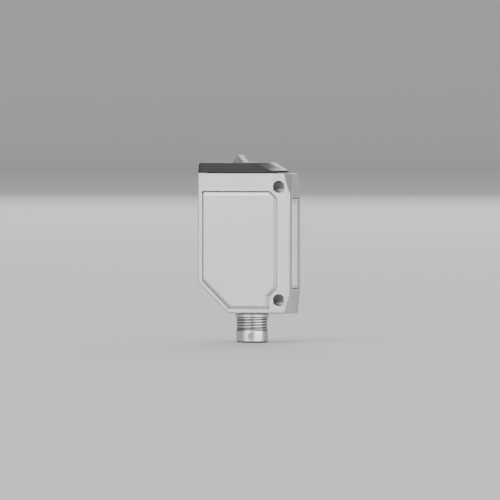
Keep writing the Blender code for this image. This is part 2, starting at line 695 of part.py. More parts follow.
def board_part(name, size, left, top, parent, material):
    """A soldered block whose rear edge and top edge lie at the given place."""
    length, height, standing = size
    return box(name, (left, left + length), (PART_SEAT - standing, PART_SEAT), (top - height, top), parent,
               material)


def make_board_parts(parent):
    """Two columns of parts stand behind the emitter board, and the signal light at the tongue's tip."""
    black = make_material("chip_epoxy", (0.02, 0.02, 0.02), 0.4)
    left = BOARD_REAR + PART_SPACING
    top = BOARD_TOP - PART_SPACING
    column = [
        ("controller_chip", CONTROLLER_SIZE, black),
        ("voltage_regulator", REGULATOR_SIZE, make_material("regulator_epoxy", (0.03, 0.03, 0.03), 0.4)),
        ("filter_capacitor_1", CAPACITOR_SIZE, make_material("capacitor_1_case", (0.55, 0.40, 0.08), 0.4)),
        ("filter_capacitor_2", CAPACITOR_SIZE, make_material("capacitor_2_case", (0.55, 0.40, 0.08), 0.4)),
        ("driver_transistor", TRANSISTOR_SIZE, make_material("transistor_epoxy", (0.02, 0.02, 0.02), 0.4)),
    ]
    for name, size, material in column:
        board_part(name, size, left, top, parent, material)
        top -= size[1] + PART_SPACING

    rim = CHOKE_DIAMETER / 2
    core = CHOKE_CORE_DIAMETER / 2
    inner, outer = CHOKE_FLANGE, CHOKE_HEIGHT - CHOKE_FLANGE
    profile = [(0, 0), (rim, 0), (rim, inner), (core, inner), (core, outer), (rim, outer)]
    profile += [(rim, CHOKE_HEIGHT), (0, CHOKE_HEIGHT)]
    ferrite = make_material("choke_ferrite", (0.05, 0.05, 0.05), 0.6)
    choke = turned("choke", profile, parent, ferrite, steps=SMALL_ROUND_STEPS)
    choke.rotation_euler.x = math.pi / 2
    choke_z = LENS_HEIGHT / 2 + HOLDER_WALL + 2 * PART_SPACING + rim
    choke.location = (HOLDER_REAR + rim, PART_SEAT, choke_z)

    glow = make_material("indicator_epoxy", (0.75, 0.80, 0.70), 0.3)
    indicator_left = PRISM_CENTRE - INDICATOR_SIZE[0] / 2
    board_part("indicator_led", INDICATOR_SIZE, indicator_left, TONGUE_TOP, parent, glow)


def cap_section(y):
    """The cap's outline at y, in X and Z. Its front bulges in plan. The nose slopes straight down in the
    middle, and towards the sides it is longer and falls in a hollow curve."""
    side = edge_inset(OUTER_EDGE_RADIUS, y)
    across = (y / HALF_THICKNESS) ** 2
    top = CAP_TOP - side
    front = CAP_FRONT - NOSE_BULGE * across
    lip = CAP_BASE + NOSE_LIP
    length = NOSE_MIDDLE_LENGTH + (NOSE_SIDE_LENGTH - NOSE_MIDDLE_LENGTH) * across
    power = 1 + (NOSE_HOLLOWNESS - 1) * across
    outline = [(REAR + side, CAP_BASE), (front, CAP_BASE)]
    for step in range(NOSE_STEPS + 1):
        along = step / NOSE_STEPS
        outline.append((front - length * along, lip + (top - lip) * along**power))
    for step in range(CORNER_STEPS + 1):
        angle = math.pi / 2 * (1 + step / CORNER_STEPS)
        x = REAR + side + CAP_REAR_SLANT + CAP_REAR_RADIUS * (1 + math.cos(angle))
        outline.append((x, top - CAP_REAR_RADIUS * (1 - math.sin(angle))))
    return outline


def make_top_cap(parent):
    """The dark cap: a hollow lid with a collar that plugs the housing's opening and a slot for the prism."""
    edge = side_edge_levels()
    flat = [edge[0] * (2 * step / ACROSS_STEPS - 1) for step in range(1, ACROSS_STEPS)]
    levels = [-y for y in reversed(edge)] + flat + edge
    material = make_material("top_cap_plastic", (0.06, 0.06, 0.065), 0.35)
    cap = loft("top_cap", [in_y(cap_section(y), y) for y in levels], parent, material, smooth=True)

    plug_x = (OPENING_REAR + SEAT_GAP, OPENING_FRONT - SEAT_GAP)
    plug_y = (-OPENING_HALF_WIDTH + SEAT_GAP, OPENING_HALF_WIDTH - SEAT_GAP)
    plug = box("cap_plug", plug_x, plug_y, (CAP_PLUG_BOTTOM, CAP_BASE + OVERCUT), parent)
    hollow_x = (plug_x[0] + CAP_PLUG_WALL, plug_x[1] - CAP_PLUG_WALL)
    hollow_y = (plug_y[0] + CAP_PLUG_WALL, plug_y[1] - CAP_PLUG_WALL)
    hollow = box("cap_hollow", hollow_x, hollow_y, (CAP_PLUG_BOTTOM - OVERCUT, CAP_CEILING), parent)
    slot_x = about(PRISM_CENTRE, PRISM_BASE + 2 * SEAT_GAP)
    slot_y = about(0, PRISM_LENGTH + 2 * SEAT_GAP)
    slot = box("prism_slot", slot_x, slot_y, (CAP_CEILING - OVERCUT, CAP_TOP + OVERCUT), parent)
    join(cap, plug)
    cut(cap, hollow, slot)
    return cap


def make_cap_gasket(parent):
    inner = rectangle((OPENING_REAR, OPENING_FRONT), (-OPENING_HALF_WIDTH, OPENING_HALF_WIDTH))
    inner = inset(inner, -SEAT_GAP)
    outer = inset(inner, -CAP_GASKET_WIDTH)
    low, high = CAP_GASKET_BOTTOM, CAP_GASKET_TOP
    rings = [in_z(outer, low), in_z(outer, high), in_z(inner, high), in_z(inner, low)]
    material = make_material("cap_gasket_rubber", (0.03, 0.03, 0.03), 0.8)
    return loft("cap_gasket", rings, parent, material, closed=True)


def make_signal_prism(parent):
    """A light guide of one section: a stem over the signal light, a flange under the cap, and the roof."""
    flange_top = CAP_CEILING - SEAT_GAP
    flange_bottom = flange_top - PRISM_FLANGE_THICKNESS
    half_stem = PRISM_STEM_WIDTH / 2
    half_base = PRISM_BASE / 2
    half_flange = half_base + PRISM_FLANGE_OVERHANG
    right = [
        (half_stem, TONGUE_TOP + SEAT_GAP),
        (half_stem, flange_bottom),
        (half_flange, flange_bottom),
        (half_flange, flange_top),
        (half_base, flange_top),
        (half_base, CAP_TOP),
    ]
    outline = [(PRISM_CENTRE + x, z) for x, z in right]
    outline.append((PRISM_CENTRE, CAP_TOP + PRISM_HEIGHT))
    outline += [(PRISM_CENTRE - x, z) for x, z in reversed(right)]
    material = make_material("signal_prism_acrylic", (0.45, 0.45, 0.46), 0.2, alpha=0.8)
    return loft("signal_prism", [in_y(outline, y) for y in about(0, PRISM_LENGTH)], parent, material)


def make_connector_shell(plug_frame):
    """The turned sleeve: shank, collar, threaded length and plain pilot, bored out for the contacts."""
    shank, collar = SHANK_DIAMETER / 2, COLLAR_DIAMETER / 2
    thread, pilot = THREAD_DIAMETER / 2, PILOT_DIAMETER / 2
    socket, bore = SOCKET_DIAMETER / 2, SHANK_BORE / 2
    edge = END_CHAMFER / 2
    profile = [
        (bore, SHANK_TOP),
        (shank, SHANK_TOP),
        (shank, COLLAR_TOP),
        (collar - edge, COLLAR_TOP),
        (collar, COLLAR_TOP - edge),
        (collar, COLLAR_BOTTOM + edge),
        (collar - edge, COLLAR_BOTTOM),
        (thread, COLLAR_BOTTOM),
        (thread, THREAD_BOTTOM + END_CHAMFER),
        (pilot, THREAD_BOTTOM),
        (pilot, PLUG_END + END_CHAMFER),
        (pilot - END_CHAMFER, PLUG_END),
        (socket + edge, PLUG_END),
        (socket, PLUG_END + edge),
        (socket, SOCKET_FLOOR),
        (bore, SOCKET_FLOOR),
    ]
    material = make_material("nickel_plated_brass", (0.65, 0.64, 0.62), 0.28, metallic=1.0)
    return turned("connector_shell", profile, plug_frame, material, bored=True)


def make_connector_seal(plug_frame):
    inner, outer = SEAL_INNER_RADIUS, SEAL_OUTER_RADIUS
    profile = [(inner, SEAL_BOTTOM), (outer, SEAL_BOTTOM), (outer, SEAL_TOP), (inner, SEAL_TOP)]
    material = make_material("connector_seal_rubber", (0.02, 0.02, 0.02), 0.8)
    return turned("connector_seal", profile, plug_frame, material, bored=True)


def pin_places():
    angles = [2 * math.pi * (number + 0.5) / PIN_COUNT for number in range(PIN_COUNT)]
    radius = PIN_CIRCLE / 2
    return [(radius * math.cos(angle), radius * math.sin(angle), 0.0) for angle in angles]


def make_contact_carrier(plug_frame):
    """The moulded insert: a flange in the socket, a stem up the shank, four pin holes and a coding rib."""
    flange = SOCKET_DIAMETER / 2 - SEAT_GAP
    stem = SHANK_BORE / 2 - SEAT_GAP
    profile = [(0, CARRIER_BOTTOM), (flange, CARRIER_BOTTOM), (flange, CARRIER_TOP), (stem, CARRIER_TOP)]
    profile += [(stem, CARRIER_STEM_TOP), (0, CARRIER_STEM_TOP)]
    material = make_material("contact_carrier_plastic", (0.03, 0.03, 0.03), 0.5)
    carrier = turned("contact_carrier", profile, plug_frame, material)

    rib_z = (PLUG_END + CODING_RIB_SETBACK, CARRIER_BOTTOM + CARRIER_THICKNESS / 2)
    reach = math.sqrt(flange**2 - (CODING_RIB_WIDTH / 2) ** 2)
    rib_x = (reach - CODING_RIB_DEPTH, reach)
    join(carrier, box("coding_rib", rib_x, about(0, CODING_RIB_WIDTH), rib_z, plug_frame))

    radius = PIN_DIAMETER / 2 + PIN_CLEARANCE
    low, high = CARRIER_BOTTOM - OVERCUT, CARRIER_STEM_TOP + OVERCUT
    hole = [(0, low), (radius, low), (radius, high), (0, high)]
    for number, place in enumerate(pin_places(), 1):
        cutter = turned(f"pin_hole_{number}", hole, plug_frame, steps=SMALL_ROUND_STEPS)
        cutter.location = place
        cut(carrier, cutter)
    return carrier


def make_contact_pins(plug_frame):
    radius = PIN_DIAMETER / 2
    bottom = PLUG_END + PIN_SETBACK
    profile = [
        (0, bottom),
        (radius - PIN_TIP, bottom),
        (radius, bottom + PIN_TIP),
        (radius, CARRIER_STEM_TOP),
        (0, CARRIER_STEM_TOP),
    ]
    for number, place in enumerate(pin_places(), 1):
        material = make_material(f"contact_pin_{number}_gold", (0.80, 0.58, 0.25), 0.25, metallic=1.0)
        pin = turned(f"contact_pin_{number}", profile, plug_frame, material, steps=SMALL_ROUND_STEPS)
        pin.location = place


def make_plug_board(plug_frame):
    """A small board across the tops of the contacts. It reaches back to the main board."""
    half = PIN_CIRCLE / 2 + PLUG_BOARD_MARGIN
    height = (PLUG_BOARD_BOTTOM, PLUG_BOARD_BOTTOM + PLUG_BOARD_THICKNESS)
    material = make_material("plug_board_laminate", (0.03, 0.18, 0.07), 0.5)
    return box("plug_board", (-half, half), (-half, PART_SEAT), height, plug_frame, material)


def build_sensor():
    sensor_frame = make_empty("sensor_frame", (0.0, -HALF_THICKNESS, 0.0))
    plug_frame = make_empty("plug_frame", (PLUG_CENTRE, 0.0, BOTTOM), sensor_frame)
    make_housing(sensor_frame, plug_frame)
    make_side_cover(sensor_frame)
    make_cover_gasket(sensor_frame)
    make_front_window(sensor_frame)
    make_window_gasket(sensor_frame)
    make_lens(sensor_frame)
    make_lens_holder(sensor_frame)
    make_emitter(sensor_frame)
    make_main_board(sensor_frame)
    make_board_parts(sensor_frame)
    make_top_cap(sensor_frame)
    make_cap_gasket(sensor_frame)
    make_signal_prism(sensor_frame)
    make_connector_shell(plug_frame)
    make_connector_seal(plug_frame)
    make_contact_carrier(plug_frame)
    make_contact_pins(plug_frame)
    make_plug_board(plug_frame)


clear_scene()
build_sensor()
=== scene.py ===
import json
import math

import bpy
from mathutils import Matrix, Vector

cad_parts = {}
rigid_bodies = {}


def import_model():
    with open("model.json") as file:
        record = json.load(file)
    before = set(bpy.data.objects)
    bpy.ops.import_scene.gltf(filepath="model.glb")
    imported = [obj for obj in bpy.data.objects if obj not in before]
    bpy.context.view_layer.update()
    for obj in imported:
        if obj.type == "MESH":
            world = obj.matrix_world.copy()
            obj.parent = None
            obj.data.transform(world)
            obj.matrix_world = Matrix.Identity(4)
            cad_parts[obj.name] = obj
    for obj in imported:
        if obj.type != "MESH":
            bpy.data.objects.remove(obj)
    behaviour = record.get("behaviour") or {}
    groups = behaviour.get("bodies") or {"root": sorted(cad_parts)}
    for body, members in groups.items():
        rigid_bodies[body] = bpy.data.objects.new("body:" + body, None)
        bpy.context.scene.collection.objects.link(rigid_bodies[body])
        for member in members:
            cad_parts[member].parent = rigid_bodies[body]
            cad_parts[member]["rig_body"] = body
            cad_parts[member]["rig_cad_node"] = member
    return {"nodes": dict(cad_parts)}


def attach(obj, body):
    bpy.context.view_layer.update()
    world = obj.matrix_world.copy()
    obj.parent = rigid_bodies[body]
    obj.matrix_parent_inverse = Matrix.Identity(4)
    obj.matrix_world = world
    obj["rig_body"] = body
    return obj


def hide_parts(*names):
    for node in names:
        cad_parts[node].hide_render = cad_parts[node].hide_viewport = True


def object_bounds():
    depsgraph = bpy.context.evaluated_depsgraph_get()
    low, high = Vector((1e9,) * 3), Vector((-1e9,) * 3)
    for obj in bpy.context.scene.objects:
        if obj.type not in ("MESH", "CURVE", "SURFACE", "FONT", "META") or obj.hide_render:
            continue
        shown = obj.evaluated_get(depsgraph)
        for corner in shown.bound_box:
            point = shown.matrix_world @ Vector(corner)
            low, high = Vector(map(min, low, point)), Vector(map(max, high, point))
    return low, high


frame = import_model()
cadLow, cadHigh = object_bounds()
nodes = frame["nodes"]
mm = 0.001
weldDistance = 0.0005 * mm
facing = 0.9  # a face looks along an axis where its normal reaches this far
print("frame loaded:", len(nodes), "nodes")


# Working with objects

def deselectAll():
    if bpy.context.object and bpy.context.object.mode != "OBJECT":
        bpy.ops.object.mode_set(mode="OBJECT")
    bpy.ops.object.select_all(action="DESELECT")


def makeActive(piece):
    deselectAll()
    piece.select_set(True)
    bpy.context.view_layer.objects.active = piece


def enterEdit(piece, mode="VERT"):
    makeActive(piece)
    bpy.ops.object.mode_set(mode="EDIT")
    bpy.ops.mesh.select_mode(type=mode)


def leaveEdit():
    bpy.ops.object.mode_set(mode="OBJECT")


def selectIn(piece, mode, test):
    # edit mode, with only those points, edges or faces selected that pass the test
    enterEdit(piece, mode)
    bpy.ops.mesh.select_all(action="DESELECT")
    leaveEdit()
    mesh = piece.data
    for part in {"VERT": mesh.vertices, "EDGE": mesh.edges, "FACE": mesh.polygons}[mode]:
        part.select = test(part)
    bpy.ops.object.mode_set(mode="EDIT")


def placeInMesh(piece):
    makeActive(piece)
    bpy.ops.object.transform_apply(location=True, rotation=True, scale=True)


def movePiece(piece, offset, turn=(0, 0, 0)):
    piece.location = Vector(offset)
    piece.rotation_euler = turn
    placeInMesh(piece)


def applyModifier(piece, kind, **settings):
    makeActive(piece)
    modifier = piece.modifiers.new(kind.lower(), kind)
    for name, value in settings.items():
        setattr(modifier, name, value)
    bpy.ops.object.modifier_apply(modifier=modifier.name)


def combine(piece, other, operation):
    applyModifier(piece, "BOOLEAN", operation=operation, object=other, solver="EXACT")
    bpy.data.objects.remove(other, do_unlink=True)


def joinPieces(pieces, name):
    deselectAll()
    for piece in pieces:
        piece.select_set(True)
    bpy.context.view_layer.objects.active = pieces[0]
    bpy.ops.object.join()
    pieces[0].name = name
    return pieces[0]


def softenEdges(piece, width, segments=2, angle=30):
    applyModifier(
        piece, "BEVEL", width=width, segments=segments, limit_method="ANGLE",
        angle_limit=math.radians(angle), use_clamp_overlap=True, miter_outer="MITER_ARC",
    )


def smoothSurface(piece, angle=40):
    # smooth over the soft edges, with the flats kept flat
    makeActive(piece)
    bpy.ops.object.shade_smooth_by_angle(angle=math.radians(angle))
    applyModifier(piece, "WEIGHTED_NORMAL", mode="FACE_AREA", weight=100, keep_sharp=True)


def boxOf(piece):
    return Vector(piece.bound_box[0]), Vector(piece.bound_box[6])


def copyOfNode(nodeName, pieceName):
    deselectAll()
    piece = nodes[nodeName].copy()
    piece.data = nodes[nodeName].data.copy()
    piece.parent = None
    for tag in ("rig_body", "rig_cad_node"):  # the copy is a piece of its own, not the node
        if tag in piece:
            del piece[tag]
    piece.name = pieceName
    bpy.context.scene.collection.objects.link(piece)
    enterEdit(piece)
    bpy.ops.mesh.select_all(action="SELECT")
    bpy.ops.mesh.remove_doubles(threshold=4 * weldDistance)
    bpy.ops.mesh.dissolve_limited(angle_limit=math.radians(0.5), use_dissolve_boundaries=False)
    leaveEdit()
    return piece


def turnedRing(name, profile, segments=128):
    # a circle, extruded and scaled from one (radius, height) to the next, and back to the first
    deselectAll()
    radius, height = profile[0]
    bpy.ops.mesh.primitive_circle_add(vertices=segments, radius=radius, location=(0, 0, height))
    piece = bpy.context.object
    piece.name = name
    placeInMesh(piece)
    enterEdit(piece, "EDGE")
    bpy.ops.mesh.select_all(action="SELECT")
    for nextRadius, nextHeight in profile[1:] + profile[:1]:
        bpy.ops.mesh.extrude_region()
        bpy.ops.transform.translate(value=(0, 0, nextHeight - height))
        ratio = nextRadius / radius
        bpy.ops.transform.resize(value=(ratio, ratio, 1), center_override=(0, 0, nextHeight))
        radius, height = nextRadius, nextHeight
    bpy.ops.mesh.select_all(action="SELECT")
    bpy.ops.mesh.remove_doubles(threshold=weldDistance)
    bpy.ops.mesh.normals_make_consistent(inside=False)
    leaveEdit()
    return piece


def paint(piece, *materials):
    piece.data.materials.clear()
    for material in materials:
        piece.data.materials.append(material)


def paintSecond(piece, test):
    # the faces that pass the test take the second of the piece's two materials
    for face in piece.data.polygons:
        face.material_index = 1 if test(face) else 0


def finishPiece(piece, nodeName):
    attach(piece, "root")
    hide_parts(nodeName)


# Materials

def newMaterial(name, base, roughness, metallic=0.0, **sockets):
    material = bpy.data.materials.new(name)
    material.use_nodes = True
    tree = material.node_tree
    shader = tree.nodes["Principled BSDF"]
    shader.inputs["Base Color"].default_value = (*base, 1)
    shader.inputs["Roughness"].default_value = roughness
    shader.inputs["Metallic"].default_value = metallic
    for socket, value in sockets.items():
        shader.inputs[socket.replace("_", " ")].default_value = value
    return material, tree, shader


def objectNoise(tree, scale, detail, stretch=(1, 1, 1)):
    place = tree.nodes.new("ShaderNodeTexCoord")
    mapping = tree.nodes.new("ShaderNodeMapping")
    mapping.inputs["Scale"].default_value = stretch
    noise = tree.nodes.new("ShaderNodeTexNoise")
    noise.inputs["Scale"].default_value = scale
    noise.inputs["Detail"].default_value = detail
    tree.links.new(place.outputs["Object"], mapping.inputs["Vector"])
    tree.links.new(mapping.outputs["Vector"], noise.inputs["Vector"])
    return noise.outputs["Fac"]


def spread(tree, source, low, high, fromLow=0.3, fromHigh=0.7):
    # turns a noise value into a value between low and high
    remap = tree.nodes.new("ShaderNodeMapRange")
    remap.inputs["From Min"].default_value = fromLow
    remap.inputs["From Max"].default_value = fromHigh
    remap.inputs["To Min"].default_value = low
    remap.inputs["To Max"].default_value = high
    tree.links.new(source, remap.inputs["Value"])
    return remap.outputs["Result"]


def blendColours(tree, factor, first):
    # from the first colour to the one that is set or linked at B
    mix = tree.nodes.new("ShaderNodeMix")
    mix.data_type = "RGBA"
    mix.inputs["A"].default_value = (*first, 1)
    tree.links.new(factor, mix.inputs["Factor"])
    return mix


def addBump(tree, shader, height, distance):
    bump = tree.nodes.new("ShaderNodeBump")
    bump.inputs["Distance"].default_value = distance
    bump.inputs["Strength"].default_value = 1.0
    tree.links.new(height, bump.inputs["Height"])
    tree.links.new(bump.outputs["Normal"], shader.inputs["Normal"])


def grainedFinish(name, values, **sockets):
    # two close colours in soft clouds, and a fine grain in the gloss and the surface
    metallic = values.get("metallic", 0.0)
    material, tree, shader = newMaterial(name, values["base"], values["roughness"], metallic, **sockets)
    cloud = objectNoise(tree, values["cloudScale"], detail=3)
    grain = objectNoise(tree, values["grainScale"], detail=2, stretch=values.get("stretch", (1, 1, 1)))
    tone = blendColours(tree, spread(tree, cloud, 0, 1), values["base"])
    tone.inputs["B"].default_value = (*values["secondBase"], 1)
    tree.links.new(tone.outputs["Result"], shader.inputs["Base Color"])
    rough, change = values["roughness"], values["roughnessSpread"]
    tree.links.new(spread(tree, grain, rough - change, rough + change), shader.inputs["Roughness"])
    addBump(tree, shader, grain, values["grainDepth"])
    return material


# Camera, at the photo's angle: almost level, and turned a little towards the front window

cameraValues = {
    "azimuth": 14.0,
    "elevation": 1.0,
    "distance": 2.5,
    "aim": (-10.57 * mm, -16.0 * mm, -2.32 * mm),
    "frameWidth": 0.180,
    "sensorWidth": 36.0,
    "clip": (0.05, 200.0),
}


def directionTo(azimuth, elevation):
    # 0 degrees looks at the cover, and a positive azimuth goes round towards the front window
    turn, rise = math.radians(azimuth), math.radians(elevation)
    return Vector((math.sin(turn) * math.cos(rise), -math.cos(turn) * math.cos(rise), math.sin(rise)))


def makeCamera(values):
    data = bpy.data.cameras.new("photoCamera")
    camera = bpy.data.objects.new("photoCamera", data)
    bpy.context.scene.collection.objects.link(camera)
    back = directionTo(values["azimuth"], values["elevation"])
    camera.location = Vector(values["aim"]) + back * values["distance"]
    camera.rotation_euler = (math.pi / 2 - math.radians(values["elevation"]), 0, math.radians(values["azimuth"]))
    data.sensor_width = values["sensorWidth"]
    data.lens = data.sensor_width * values["distance"] / values["frameWidth"]
    data.clip_start, data.clip_end = values["clip"]
    bpy.context.scene.camera = camera


makeCamera(cameraValues)
print("camera placed")


# Floor and light

studioValues = {
    "floorRadius": 12.0,
    "floorSides": 96,
    "floorGap": 0.2 * mm,
    "wallHeight": 1.6,
    "wallBend": 1.5,
    "bendSegments": 16,
    "floorColour": (0.36, 0.36, 0.36),
    "floorRoughness": 0.85,
    "worldColour": (0.80, 0.80, 0.80),
    "worldStrength": 0.20,
}

lightValues = [
    {"name": "keyLight", "azimuth": -20, "elevation": 14, "distance": 5.0, "size": (3.9, 2.2), "power": 112},
    {"name": "fillLight", "azimuth": 59, "elevation": 10, "distance": 5.0, "size": (6.0, 1.6), "power": 176},
    {"name": "topLight", "azimuth": -10, "elevation": 88, "distance": 14.0, "size": (24, 24), "power": 3300},
    {"name": "highLight", "azimuth": -14, "elevation": 55, "distance": 10.0, "size": (8, 8), "power": 600},
    {"name": "backLight", "azimuth": 182, "elevation": 28, "distance": 5.0, "size": (4.6, 2.8), "power": 175},
]


def makeStudio(values):
    # a round floor that bends up into a wall, so that the backdrop is even from every side
    deselectAll()
    height = values["wallHeight"]
    middle = cadLow.z - values["floorGap"] + height / 2
    bpy.ops.mesh.primitive_cylinder_add(
        vertices=values["floorSides"], radius=values["floorRadius"], depth=height, location=(0, 0, middle),
    )
    floor = bpy.context.object
    floor.name = "floor"
    placeInMesh(floor)
    selectIn(floor, "FACE", lambda face: face.normal.z > facing)
    bpy.ops.mesh.delete(type="FACE")
    leaveEdit()
    selectIn(floor, "EDGE", lambda edge: all(floor.data.vertices[i].co.z < 0 for i in edge.vertices))
    bpy.ops.mesh.bevel(offset=values["wallBend"], segments=values["bendSegments"])
    leaveEdit()
    bpy.ops.object.shade_smooth()
    paint(floor, newMaterial("paleFloor", values["floorColour"], values["floorRoughness"])[0])
    world = bpy.data.worlds.new("studio")
    bpy.context.scene.world = world
    world.use_nodes = True
    background = world.node_tree.nodes["Background"]
    background.inputs["Color"].default_value = (*values["worldColour"], 1)
    background.inputs["Strength"].default_value = values["worldStrength"]


def makeLight(values):
    data = bpy.data.lights.new(values["name"], "AREA")
    data.shape = "RECTANGLE"
    data.size, data.size_y = values["size"]
    data.energy = values["power"]
    light = bpy.data.objects.new(values["name"], data)
    bpy.context.scene.collection.objects.link(light)
    away = directionTo(values["azimuth"], values["elevation"])
    light.location = (cadLow + cadHigh) / 2 + away * values["distance"]
    light.rotation_mode = "QUATERNION"
    light.rotation_quaternion = away.to_track_quat("Z", "Y")
    light.visible_camera = False


makeStudio(studioValues)
for values in lightValues:
    makeLight(values)
print("studio lit")


# Housing: the casting with its edges softened, and painted shade (a darker material) on the faces deep inside
# that look at another wall

housingValues = {
    "edge": 0.12 * mm,
    "holeHeight": 20.4 * mm,
    "holeRadius": 2.1 * mm,
    "farMouthChamfer": 0.40 * mm,
    "rayStart": 0.05 * mm,
    "wellInside": 1.8 * mm,
    "plated": {
        "base": (0.60, 0.60, 0.61), "secondBase": (0.63, 0.63, 0.635), "metallic": 0.92,
        "roughness": 0.38, "roughnessSpread": 0.04, "cloudScale": 90, "grainScale": 5200,
        "grainDepth": 0.010 * mm,
    },
    # a darker copy of the casting's finish, painted as shade on the faces deep inside
    "insideShade": {
        "base": (0.26, 0.26, 0.265), "secondBase": (0.30, 0.30, 0.305), "metallic": 0.85,
        "roughness": 0.50, "roughnessSpread": 0.08, "cloudScale": 260, "grainScale": 2600,
        "grainDepth": 0.030 * mm,
    },
}


def rawInside(piece, values):
    # what faces another wall, deep inside the piece's box, takes the second material, a darker one that paints
    # shade there
    low, high = boxOf(piece)

    def isRaw(face):
        facesWall = piece.ray_cast(face.center + face.normal * values["rayStart"], face.normal)[0]
        depth = min(min(face.center[i] - low[i], high[i] - face.center[i]) for i in range(3))
        return facesWall and depth > values["wellInside"]

    paintSecond(piece, isRaw)


def chamferFarMouths(piece, values):
    # the two screw holes open in a small cone on the mounting face, which is the plane Y 0
    def atMouth(point):
        reach = math.hypot(point.x, abs(point.z) - values["holeHeight"])
        return abs(point.y) < 0.01 * mm and reach < values["holeRadius"] + 0.05 * mm

    selectIn(piece, "EDGE", lambda edge: all(atMouth(piece.data.vertices[i].co) for i in edge.vertices))
    bpy.ops.mesh.bevel(offset=values["farMouthChamfer"], offset_type="OFFSET", segments=1)
    leaveEdit()


def makeHousing(values):
    piece = copyOfNode("housing", "diecastHousing")
    chamferFarMouths(piece, values)
    softenEdges(piece, values["edge"])
    smoothSurface(piece)
    plated = grainedFinish("satinNickelCasting", values["plated"])
    insideShade = grainedFinish("paintedShadeCasting", values["insideShade"])
    paint(piece, plated, insideShade)
    # painted shade: the faces deep inside that look at another wall take the darker material
    rawInside(piece, values)
    finishPiece(piece, "housing")


makeHousing(housingValues)
print("housing finished")


# Side cover: a flush plate whose broad bevel runs down to a narrow wall

coverValues = {
    "edge": 0.10 * mm,
    "closerFit": 0.20 * mm,
    "deeperBevel": 0.12 * mm,
    "bevelLine": (0.3 * mm, 0.9 * mm),
    "wallTilt": 0.10,
    "plateTilt": 0.97,
    "finish": {
        "base": (0.60, 0.595, 0.61), "secondBase": (0.62, 0.615, 0.63), "metallic": 0.92,
        "roughness": 0.40, "roughnessSpread": 0.03, "cloudScale": 70, "grainScale": 4200,
        "grainDepth": 0.008 * mm,
    },
    "bevelFinish": {
        "base": (0.62, 0.615, 0.63), "secondBase": (0.64, 0.635, 0.65), "metallic": 0.95,
        "roughness": 0.34, "roughnessSpread": 0.03, "cloudScale": 70, "grainScale": 4200,
        "grainDepth": 0.008 * mm,
    },
}


def deepenBevel(piece, values):
    # sinks the line where the broad bevel meets the narrow wall
    level = min(vertex.co.y for vertex in piece.data.vertices)
    above, below = values["bevelLine"]
    selectIn(piece, "VERT", lambda vertex: above < vertex.co.y - level < below)
    bpy.ops.transform.translate(value=(0, values["deeperBevel"], 0))
    leaveEdit()


def widenRim(piece, values):
    # moves the narrow wall round the plate outwards, so that only a hairline seam stays open
    selectIn(piece, "FACE", lambda face: abs(face.normal.y) < values["wallTilt"])
    bpy.ops.transform.shrink_fatten(value=values["closerFit"], use_even_offset=True)
    leaveEdit()


def makeSideCover(values):
    piece = copyOfNode("side_cover", "bevelledSideCover")
    deepenBevel(piece, values)
    widenRim(piece, values)
    softenEdges(piece, values["edge"])
    smoothSurface(piece)
    plate = grainedFinish("satinNickelCover", values["finish"])
    paint(piece, plate, grainedFinish("brightCutBevel", values["bevelFinish"]))
    paintSecond(piece, lambda face: values["wallTilt"] < abs(face.normal.y) < values["plateTilt"])
    finishPiece(piece, "side_cover")


makeSideCover(coverValues)
print("side cover finished")


# Front window: a milky pane between two plain end pads

windowValues = {
    "edge": 0.10 * mm,
    "padLength": 1.5 * mm,
    "pane": {
        "base": (0.88, 0.885, 0.90), "secondBase": (0.84, 0.845, 0.86), "roughness": 0.18,
        "roughnessSpread": 0.03, "cloudScale": 60, "grainScale": 2500, "grainDepth": 0.003 * mm,
    },
    "pads": {
        "base": (0.56, 0.56, 0.57), "secondBase": (0.60, 0.60, 0.61), "roughness": 0.35,
        "roughnessSpread": 0.04, "cloudScale": 90, "grainScale": 3500, "grainDepth": 0.005 * mm,
    },
}


def makeFrontWindow(values):
    piece = copyOfNode("front_window", "frontPane")
    softenEdges(piece, values["edge"])
    smoothSurface(piece)
    pane = grainedFinish("milkyPane", values["pane"], Coat_Weight=0.6, Coat_Roughness=0.08)
    paint(piece, pane, grainedFinish("greyPads", values["pads"]))
    padStart = boxOf(piece)[1].z - values["padLength"]
    paintSecond(piece, lambda face: abs(face.center.z) > padStart)
    finishPiece(piece, "front_window")


makeFrontWindow(windowValues)
print("front window finished")


# Top cap and signal prism

capValues = {
    "edge": 0.15 * mm,
    "finish": {
        "base": (0.012, 0.012, 0.013), "secondBase": (0.017, 0.017, 0.018), "roughness": 0.34,
        "roughnessSpread": 0.05, "cloudScale": 120, "grainScale": 3800, "grainDepth": 0.006 * mm,
    },
}

prismValues = {
    "edge": 0.12 * mm,
    "finish": {
        "base": (0.17, 0.17, 0.18), "secondBase": (0.20, 0.20, 0.21), "roughness": 0.40,
        "roughnessSpread": 0.04, "cloudScale": 200, "grainScale": 3000, "grainDepth": 0.002 * mm,
    },
}


def makeTopCap(values):
    piece = copyOfNode("top_cap", "darkTopCap")
    softenEdges(piece, values["edge"], angle=35)
    smoothSurface(piece, angle=42)
    paint(piece, grainedFinish("darkCapPlastic", values["finish"], Specular_IOR_Level=0.38))
    finishPiece(piece, "top_cap")


def makeSignalPrism(values):
    piece = copyOfNode("signal_prism", "signalPrism")
    softenEdges(piece, values["edge"])
    smoothSurface(piece)
    paint(piece, grainedFinish("clearPrism", values["finish"], Transmission_Weight=0.30, IOR=1.49))
    finishPiece(piece, "signal_prism")


makeTopCap(capValues)
makeSignalPrism(prismValues)
print("cap and prism finished")


# Plug sleeve, turned from bar, with a cut M12 thread. Heights are measured from the housing's bottom

